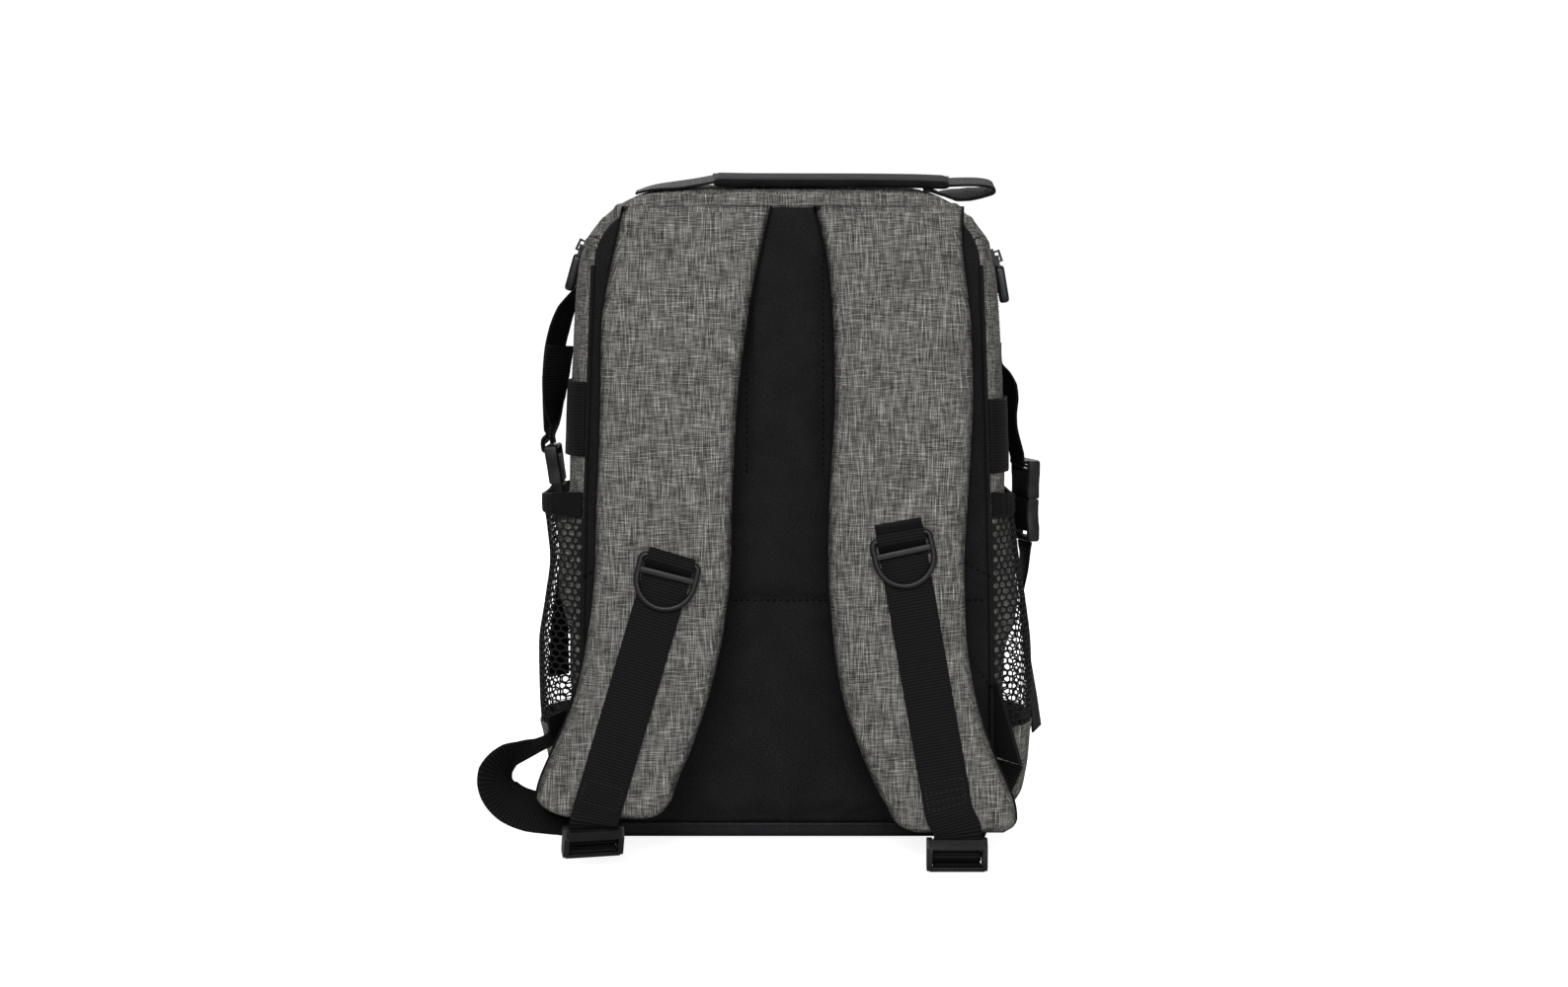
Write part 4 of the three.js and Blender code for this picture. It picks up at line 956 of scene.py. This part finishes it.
def panel_stand(x, z, pad, groove):
    """How far the back panel stands in front of its seam, with its stitched channels."""
    half = half_width(0, z) - 1
    inward = min((half - abs(x)) / PANEL["rise"], (z - PANEL["low"]) / PANEL["rise"])
    inward = min(inward, (PANEL["high"] - z) / PANEL["top_rise"])
    swell = math.sin(math.pi / 2 * clamp(inward))
    lines = [math.exp(-(((z - CROSS_LINE) / CHANNEL["wide"]) ** 2))]
    middle = min(abs(x - line) for line in UPRIGHT_LINES)
    ends = ease((z - CHANNEL["from"]) / CHANNEL["fade"]) * ease((CHANNEL["to"] - z) / CHANNEL["fade"])
    lines.append(math.exp(-((middle / CHANNEL["wide"]) ** 2)) * ends)
    for (x0, z0), (x1, z1) in EDGE_LINES:
        k = clamp((abs(x) - x0) / (x1 - x0))
        line = EDGE_LINE["share"] * math.exp(-(((z - lerp(z0, z1, k)) / EDGE_LINE["wide"]) ** 2))
        lines.append(line * ease((abs(x) - x0 + EDGE_LINE["lead"]) / EDGE_LINE["fade"]))
    return PANEL["rim"] + swell * (pad - groove * max(lines)), max(lines)


def back_face(u, v, top):
    z = lerp(PANEL["low"], PANEL["high"], v)
    x = (2 * u - 1) * (half_width(0, z) - 1)
    stand = panel_stand(x, z, PANEL_FACE, PANEL["groove"])[0] if top else GAP
    return Vector((x, SEAM_Y - (PANEL_HEM if on_rim(u, v) else stand), z))


def back_sewn(co):
    return panel_stand(co.x, co.z, 1, 1)[1] > SEWN_LINE or co.z > SEWN_ABOVE


cloth, sewn = pad("back_cloth", 110, 160, back_face, KNIT, "back_cloth", "back_panel", back_sewn)
puff(cloth, sewn, pressure=3.0, slack=0.01, cap=1.3)

# Shoulder straps

STRAP = {"seam": 0.25, "round": 9, "foot": 7, "room": 0.10, "room_to": 395, "sewn_above": 404, "web_top": 175}
UNDER_WEB = {"half": 17, "over": 34}
LOW_ROWS_CLOSER = 1.25

for side, sign in SIDES:
    rows = levels(f"shoulder_strap_{side}")
    web = ribbon_stations(f"strap_webbing_{side}", *HARNESS_WEB)
    run = [s[0] for s in web if rows[0]["z"] + 4 < s[0].z < STRAP["web_top"]]
    foot, head = min(run, key=lambda p: p.z), max(run, key=lambda p: p.z)
    cache = {}

    def strap_row(v):
        if v not in cache:
            z = lerp(rows[0]["z"], rows[-1]["z"], v ** LOW_ROWS_CLOSER)
            cache[v] = {c: read(rows, "z", z, c) for c in ("left", "right", "face", "back")} | {"z": z}
        return cache[v]

    def under_webbing(x, z):
        middle = lerp(foot.x, head.x, (z - foot.z) / (head.z - foot.z))
        return abs(x - middle) < UNDER_WEB["half"] and z < head.z + UNDER_WEB["over"]

    def strap_face(u, v, top):
        row = strap_row(v)
        x = lerp(row["left"], row["right"], u)
        thick = row["back"] - row["face"]
        wide = row["right"] - row["left"]
        reach = min(min(u, 1 - u) * wide / STRAP["round"], (row["z"] - rows[0]["z"]) / STRAP["foot"])
        round_over = math.sin(math.pi / 2 * clamp(reach)) ** 0.8
        share = lerp(STRAP["seam"], 1 if top else 0, round_over)
        if top and not under_webbing(x, row["z"]) and row["z"] < STRAP["room_to"]:
            share -= STRAP["room"] * round_over
        if v > 1 - TINY:
            share = STRAP["seam"]
        return Vector((x, row["back"] - share * thick, row["z"]))

    def strap_sewn(co):
        return under_webbing(co.x, co.z) or co.z > STRAP["sewn_above"]

    node = f"shoulder_strap_{side}"
    cloth, sewn = pad(f"strap_pad_{side}", 26, 120, strap_face, MELANGE, "melange", node, strap_sewn)
    puff(cloth, sewn, pressure=4.0, slack=0.012, cap=1.4)

    lining_rows = levels(f"strap_lining_{side}")

    def lining_face(u, v, top):
        z = lerp(lining_rows[0]["z"], lining_rows[-1]["z"], v ** LOW_ROWS_CLOSER)
        left, right, face, back = (read(lining_rows, "z", z, c) for c in ("left", "right", "face", "back"))
        edge = min(u, 1 - u) * (right - left) / 1.4
        share = lerp(0.5, 1 if top else 0, ease(edge) if TINY < v < 1 - TINY else 0)
        return Vector((lerp(left, right, u), lerp(back, face, share), z))

    cloth, _ = pad(f"strap_back_{side}", 30, 90, lining_face, LINING, "lining", f"strap_lining_{side}")

# Webbing

WEB_PIECES = [
    ("strap_webbing_{}", HARNESS_WEB, ("left", "right"), "shoulder_strap_{}"),
    ("adjuster_webbing_{}", HARNESS_WEB, ("left", "right"), "anchor_tab_{}"),
    ("side_strap_{}", SIDE_WEB, ("left", "right"), "side_panel_{}"),
    ("side_tail_{}", SIDE_WEB, ("left", "right", "left_free"), "side_clip_{}"),
    ("handle_webbing_{}", HANDLE_WEB, ("left", "right"), "top_back_panel"),
]
web_lines = {}
for pattern, size, names, holder in WEB_PIECES:
    for end_name in names:
        node = pattern.format(end_name)
        piece_name = node.replace("webbing", "web").replace("side_strap", "side_web")
        if piece_name == node:
            piece_name = node + "_web"
        side = end_name.split("_")[0]
        web_lines[node] = webbing(piece_name, node, size)

# Hard pieces

for side, sign in SIDES:
    for name, node in (("lock", "ladder_lock"), ("clip", "side_clip"), ("socket", "side_socket")):
        moulding(f"{name}_{side}", f"{node}_{side}", PLASTIC, width=0.6)
    moulding(f"slider_{side}", f"zip_slider_{side}", ZIP_METAL, width=0.35)
    tab = moulding(f"tab_{side}", f"anchor_tab_{side}", LINING, width=0.5)


PULL_GRIP = {"from": 6, "to": 31, "wide": 9, "thick": 6.2, "corner": 3.6, "rim": 1.9, "swing": math.radians(11)}


def zip_pull(side, sign):
    """A zip pull: the CAD eye and plate with a rounded grip over the plate, hung in towards the side."""
    joint = next(j for j in frame["joints"] if j["child"] == f"pull_{side}")
    pivot = Vector(joint["pos_m"]) / MM
    bm = cad_copy(f"zip_pull_{side}")
    tip = max(bm.verts, key=lambda v: (v.co - pivot).length).co.copy()
    tip.y = pivot.y
    along = (tip - pivot).normalized()
    out = Vector((0, 1, 0)).cross(along)
    out = out if out.x * sign > 0 else -out
    bmesh.ops.dissolve_limit(bm, angle_limit=FLAT_ANGLE, verts=bm.verts, edges=bm.edges)
    grip = bmesh.ops.create_cube(bm, size=1)["verts"]
    long = PULL_GRIP["to"] - PULL_GRIP["from"]
    turn = turned_to(along, along.cross(out), out)
    place = Matrix.Translation(pivot + along * (PULL_GRIP["from"] + long / 2)) @ turn
    size = Matrix.Diagonal((long, PULL_GRIP["wide"], PULL_GRIP["thick"], 1))
    bmesh.ops.transform(bm, matrix=place @ size, verts=grip)

    def rise(edge):
        return abs((edge.verts[1].co - edge.verts[0].co).dot(out))

    corners = [edge for edge in edges_at(grip) if rise(edge) > 1]
    made = round_edges(bm, corners, PULL_GRIP["corner"], segments=5)
    members = {v for v in grip if v.is_valid} | set(made["verts"])
    rims = [edge for edge in edges_at(members) if rise(edge) < 0.1]
    round_edges(bm, rims, PULL_GRIP["rim"], segments=4)
    swing = Matrix.Rotation(PULL_GRIP["swing"] * sign, 4, (0, 1, 0))
    bmesh.ops.rotate(bm, cent=pivot, matrix=swing, verts=bm.verts)
    piece = make(f"pull_{side}", bm, ZIP_METAL, (f"zip_pull_{side}",), f"pull_{side}")
    piece.data.set_sharp_from_angle(angle=SHARP_ANGLE)


for side, sign in SIDES:
    zip_pull(side, sign)


def ring_frame(node):
    """The middle, width, height and outward directions of a CAD ring."""
    bm = cad_copy(node)
    middle = sum((v.co for v in bm.verts), Vector()) / len(bm.verts)
    longest = max(bm.edges, key=lambda e: e.calc_length())
    across = (longest.verts[1].co - longest.verts[0].co).normalized()
    across = across if across.x > 0 else -across
    largest = max(bm.faces, key=lambda f: f.calc_area() if f.normal.y < -0.5 else 0)
    out = largest.normal.copy()
    up = out.cross(across).normalized()
    spans = [sorted((v.co - middle).dot(axis) for v in bm.verts) for axis in (across, up, out)]
    for axis, span in zip((across, up, out), spans):
        middle = middle + axis * (span[0] + span[-1]) / 2
    bm.free()
    return middle, across, up, out


RING_STEPS = 28


def arc(x, y, radius, start, step, numbers):
    angles = (start + k * step for k in numbers)
    return [(x + radius * math.cos(a), y + radius * math.sin(a)) for a in angles]


for side, sign in SIDES:
    middle, across, up, out = ring_frame(f"d_ring_{side}")
    half = D_RING["half"] - D_RING["inset"] - D_RING["stout"]
    top = D_RING["height"] / 2 - D_RING["rod"]
    bend = D_RING["half"] - D_RING["height"] / 2 - D_RING["inset"]
    corner = D_RING["corner"]
    path = arc(0, bend, half, math.pi, math.pi / RING_STEPS, range(RING_STEPS + 1))
    path += [(half, lerp(bend, top - corner, k / 4)) for k in range(1, 5)]
    path += arc(half - corner, top - corner, corner, 0, math.pi / 8, range(1, 5))
    path += [(x, top) for x in (10, 5, 0, -5, -10)]
    path += arc(corner - half, top - corner, corner, math.pi / 2, math.pi / 8, range(5))
    path += [(-half, lerp(top - corner, bend, k / 4)) for k in range(1, 4)]
    bm = bmesh.new()
    points = [middle + across * x + up * y for x, y in path]
    tube(bm, points, D_RING["stout"], sides=14, normal=out)
    bar = bmesh.ops.create_cube(bm, size=1)["verts"]
    tall = D_RING["bar_head"] - D_RING["bar_foot"]
    turn = turned_to(across, up, out)
    place = Matrix.Translation(middle + up * (D_RING["bar_foot"] + tall / 2))
    size = Matrix.Diagonal((2 * half, tall, D_RING["bar_thick"], 1))
    bmesh.ops.transform(bm, matrix=place @ turn @ size, verts=bar)
    round_edges(bm, edges_at(bar), D_RING["bar_edge"], segments=3)
    make(f"ring_{side}", bm, PLASTIC, (f"d_ring_{side}",))

# Side bands, pockets and net


def pocket_share(depth):
    return (depth - POCKET["back"]) / (POCKET["front"] - POCKET["back"])


def pocket_x(side, depth, z):
    """How far out a pocket's net is."""
    swell = max(0, 1 - abs(2 * pocket_share(depth) - 1) ** 4)
    return half_width(depth, z) + GAP + read(POCKET_ROWS, "z", z, side) * swell


MOUTH_DROP = 8
BAND |= {"inset": 0.6, "uneven": 0.25, "lumps": 18}
BINDING = {"stand": 1.2, "thick": 2.2, "gather": 0.5, "turn": 1.05, "fade": 0.08}
FOOT_CLOTH = {"stand": 2.2, "thick": 1.8, "fade": 0.12}
CELL = {"wide": 4.8, "high": 4.2, "thread": 1.25, "thick": 0.45, "lean": 0.17, "stand": 0.8}

for side, sign in SIDES:
    out = (sign, 0, 0)
    foot = BAND["foot"][side]

    def band_cloth(u, v):
        depth = lerp(BAND["inset"], FRONT_DEPTH - BAND["inset"], u)
        z = lerp(foot, foot + BAND["height"], v)
        x = half_width(depth, z) + GAP + BAND["thick"]
        x += BAND["uneven"] * ripple((depth, z, 0), BAND["lumps"], seed=4)
        return Vector((sign * x, SEAM_Y + depth, z))

    node = f"side_band_{side}"
    piece = laid_cloth(f"band_web_{side}", 40, 10, band_cloth, out, WEBBING, node, BAND["thick"])

    def binding_cloth(u, v):
        depth = lerp(POCKET["seam"], POCKET["front"], u)
        low = POCKET["net_top"] + GAP
        drop = MOUTH_DROP * math.sin(math.pi * pocket_share(depth))
        z = lerp(low, low + POCKET["binding"], v) - drop * v * 0.5
        gather = BINDING["gather"] * math.sin(depth * BINDING["turn"])
        gather *= ease(min(u, 1 - u) / BINDING["fade"]) * (1 - 0.5 * v)
        return Vector((sign * (pocket_x(side, depth, z) + BINDING["stand"] + gather), SEAM_Y + depth, z))

    name, node = f"binding_web_{side}", f"pocket_binding_{side}"
    piece = laid_cloth(name, 110, 8, binding_cloth, out, ELASTIC, node, BINDING["thick"], 0.0)
    round_off(piece)

    def foot_cloth(u, v):
        depth = lerp(POCKET["seam"], POCKET["front"], u)
        z = lerp(POCKET["foot"], POCKET["net_foot"] - GAP, v)
        edge = ease(min(u, 1 - u) / FOOT_CLOTH["fade"]) * ease(min(v, 1 - v) / FOOT_CLOTH["fade"])
        x = pocket_x(side, depth, z) + FOOT_CLOTH["stand"]
        x += dent((0, depth, z), edge, deep=2.2, size=26, seed=15 + sign)
        return Vector((sign * x, SEAM_Y + depth, z))

    name, node = f"pocket_cloth_{side}", f"pocket_base_{side}"
    piece = laid_cloth(name, 44, 26, foot_cloth, out, MELANGE, node, FOOT_CLOTH["thick"])
    round_off(piece)

    columns = 2 * round((POCKET["front"] - POCKET["seam"]) / CELL["wide"])
    rows = round((POCKET["net_top"] - POCKET["net_foot"]) / CELL["high"])
    bm = bmesh.new()
    made = grid(bm, columns, rows, lambda u, v: (u, v, 0))
    spot = {vert: (round(u * columns), round(v * rows)) for vert, u, v in made}
    across = []
    for edge in bm.edges:
        (i, j), (k, _) = sorted(spot[vert] for vert in edge.verts)
        if i == k and 0 < i < columns and (i + j) % 2:
            across.append(edge)
    bmesh.ops.dissolve_edges(bm, edges=across)
    for vert in bm.verts:
        i, j = spot[vert]
        lean = (CELL["lean"] if (i + j) % 2 == 0 else -CELL["lean"]) * (0 < j < rows)
        depth = lerp(POCKET["seam"], POCKET["front"], i / columns)
        z = lerp(POCKET["net_foot"], POCKET["net_top"], (j + lean) / rows)
        x = pocket_x(side, depth, z) + CELL["stand"]
        vert.co = Vector((sign * x, SEAM_Y + depth, z))
    face_out(bm, out)
    bmesh.ops.inset_individual(bm, faces=bm.faces, thickness=CELL["thread"] / 2, use_even_offset=True)
    inner = [face for face in bm.faces if all(len(edge.link_faces) == 2 for edge in face.edges)]
    holes = [face for face in inner if len(face.verts) > 4]
    bmesh.ops.delete(bm, geom=holes, context="FACES")
    piece = make(f"net_{side}", bm, NET, (f"pocket_net_{side}",))
    thicken(piece, CELL["thick"], offset=0.0)

# Zip

TAPE = {"inset": 0.1, "thick": 1.2}
TOOTH = {"size": (3.0, 0.85, 1.3), "first": 1.0, "pitch": 1.15, "aside": 0.9, "proud": 0.1, "lift": 0.3}
ZIP_STEPS = 800


def zip_at(t):
    """A place along the zip, t running from its right end over the top to its left end."""
    right = zip_place("right")
    to_middle = TOP_MIDDLE - right
    at = t * (to_middle + (TOP_MIDDLE - zip_place("left")))
    return right + at if at <= to_middle else -(TOP_MIDDLE - (at - to_middle))


def zip_point(t, depth, sunk):
    place = zip_at(t)
    return outline(depth, place) - outward(depth, place) * sunk


def tape_cloth(u, v):
    return zip_point(u, lerp(ZIP["from"] + TAPE["inset"], ZIP["to"] - TAPE["inset"], v), ZIP["recess"])


tape = laid_cloth("zip_tape", 220, 6, tape_cloth, (0, 0, 1), ZIP_TAPE, "main_zip", TAPE["thick"])

bm = bmesh.new()
line = [zip_point(k / ZIP_STEPS, ZIP_MIDDLE, ZIP["recess"] - TOOTH["lift"]) for k in range(ZIP_STEPS + 1)]
travelled, due, count = 0.0, TOOTH["first"], 0
for k in range(ZIP_STEPS):
    span = (line[k + 1] - line[k]).length
    if due <= travelled + span:
        along = (line[k + 1] - line[k]).normalized()
        out = outward(ZIP_MIDDLE, zip_at((k + 0.5) / ZIP_STEPS))
        side_way = Vector((0, 1, 0)) * (1 if count % 2 else -1)
        turn = turned_to(side_way, along, side_way.cross(along))
        at = Matrix.Translation(line[k] + side_way * TOOTH["aside"] + out * TOOTH["proud"])
        place = at @ turn @ Matrix.Diagonal((*TOOTH["size"], 1))
        bmesh.ops.create_uvsphere(bm, u_segments=6, v_segments=4, radius=0.5, matrix=place)
        due += TOOTH["pitch"]
        count += 1
    travelled += span
make("zip_coil", bm, ZIP_TEETH)

# Handle

GRIP_ACROSS = Vector((0, math.cos(HANDLE["tilt"]), math.sin(HANDLE["tilt"])))
GRIP_UP = Vector((0, -math.sin(HANDLE["tilt"]), math.cos(HANDLE["tilt"])))


def grip_middle(t):
    x = lerp(GRIP_ROWS[0]["x"] - HANDLE["over"], GRIP_ROWS[-1]["x"] + HANDLE["over"], t)
    return Vector((x, HANDLE["y"], read(GRIP_ROWS, "x", x, "z")))


def grip_face(u, v, top):
    a = 2 * v - 1
    end = ease(min(u, 1 - u) * HANDLE["long"] / HANDLE["end"])
    swell = (1 - abs(a) ** 4) ** 0.5 if abs(a) < 1 else 0
    rise = HANDLE["edge"] / 2 + (HANDLE["thick"] - HANDLE["edge"]) / 2 * swell * (0.55 + 0.45 * end)
    rise = 0 if on_rim(u, v) else rise
    return grip_middle(u) + GRIP_ACROSS * (a * HANDLE["width"] / 2) + GRIP_UP * (rise if top else -rise)


piece, _ = pad("grip_sleeve", 60, 24, grip_face, SLEEVE, "sleeve", "handle_grip")
round_off(piece)

# A light grey piping along the sleeve's near upper edge: painted highlight, standing in for the edge catching the
# light
bm = bmesh.new()
beside = GRIP_ACROSS * (HANDLE["width"] / 2 - HANDLE["highlight_in"])
highlight_steps = 60
points = [grip_middle(k / highlight_steps) + beside + GRIP_UP * HANDLE["highlight_up"] for k in range(highlight_steps + 1)]
tube(bm, points, HANDLE["seam"], sides=10)
make("grip_painted_highlight", bm, HIGHLIGHT_GREY)

# Seams and stitching

# Pitch, length and radius of the stitches
TACK_THREAD = (3.2, 2.3, 0.32)
PANEL_THREAD = (4.2, 2.8, 0.8)
TACK = {"levels": (41, 45.5, 50, 54.5), "from": 30, "to": 70, "off_seam": 20}
TACK |= {"inset": 3, "proud": 0.05, "steps": 12}

for side, sign in SIDES:
    line = web_lines[f"strap_webbing_{side}"]
    run = [s for s in line if TACK["from"] < s[0].z < TACK["to"] and s[0].y < SEAM_Y - TACK["off_seam"]]
    run = [s for s in run if s[1].x ** 2 > 0.5]
    bm = bmesh.new()
    rows = []
    for level in TACK["levels"]:
        middle, across, normal = min(run, key=lambda s: abs(s[0].z - level))
        face = normal if normal.y < 0 else -normal
        reach = HARNESS_WEB[0] / 2 - TACK["inset"]
        lifted = middle + face * (HARNESS_WEB[1] / 2 + TACK["proud"])
        steps = (lerp(-reach, reach, k / TACK["steps"]) for k in range(TACK["steps"] + 1))
        points = [lifted + across * step for step in steps]
        rows.append(points)
        stitches(bm, points, face, TACK_THREAD)
    for end in (0, -1):
        stitches(bm, [row[end] for row in rows], face, TACK_THREAD)
    make(f"tack_{side}", bm, THREAD_DARK)


WELT = {"steps": 220, "apart": 0.5, "sides": 8, "back": 0.2}


def seam_welt(name, depth, first, last, material, radius):
    """A thin rolled welt along the body's outline, from one place on it to another."""
    bm = bmesh.new()
    points = [outline(depth, lerp(first, last, k / WELT["steps"])) for k in range(WELT["steps"] + 1)]
    points = [p for k, p in enumerate(points) if k == 0 or (p - points[k - 1]).length > WELT["apart"]]
    for point in points:
        point.z = max(point.z, radius)
    tube(bm, points, radius, WELT["sides"])
    make(name, bm, material)


for side, sign in SIDES:
    low, high, middle = (sign * place for place in (LOWER_SEAM, UPPER_SEAM, TOP_MIDDLE))
    seam_welt(f"front_welt_{side}", FRONT_DEPTH, low, middle, MELANGE, radius=1.3)
    seam_welt(f"back_welt_{side}", WELT["back"], low, high, KNIT, radius=1.4)
    seam_welt(f"top_welt_{side}", WELT["back"], high, middle, MELANGE, radius=0.9)
for edge, depth in (("front", FRONT_DEPTH), ("back", WELT["back"])):
    seam_welt(f"base_welt_{edge}", depth, -LOWER_SEAM, LOWER_SEAM, BASE_CLOTH, radius=1.0)

PANEL_STITCH = {"proud": 0.1, "from": 243, "to": 401, "half": 128, "steps": 60}


def on_panel(x, z):
    stand = panel_stand(x, z, PANEL_FACE, PANEL["groove"])[0]
    return Vector((x, SEAM_Y - stand - PANEL_STITCH["proud"], z))


# The back panel's stitches in near-black thread, whose darkness also paints the shade of the needle holes
bm = bmesh.new()
half, steps = PANEL_STITCH["half"], PANEL_STITCH["steps"]
runs = [((x, PANEL_STITCH["from"]), (x, PANEL_STITCH["to"])) for x in UPRIGHT_LINES]
runs += [((-half, CROSS_LINE), (half, CROSS_LINE))]
runs += [((sign * x0, z0), (sign * x1, z1)) for _, sign in SIDES for (x0, z0), (x1, z1) in EDGE_LINES]
for (x0, z0), (x1, z1) in runs:
    line = [on_panel(lerp(x0, x1, k / steps), lerp(z0, z1, k / steps)) for k in range(steps + 1)]
    stitches(bm, line, Vector((0, -1, 0)), PANEL_THREAD)
make("panel_stitches", bm, THREAD_AND_HOLE_SHADE)
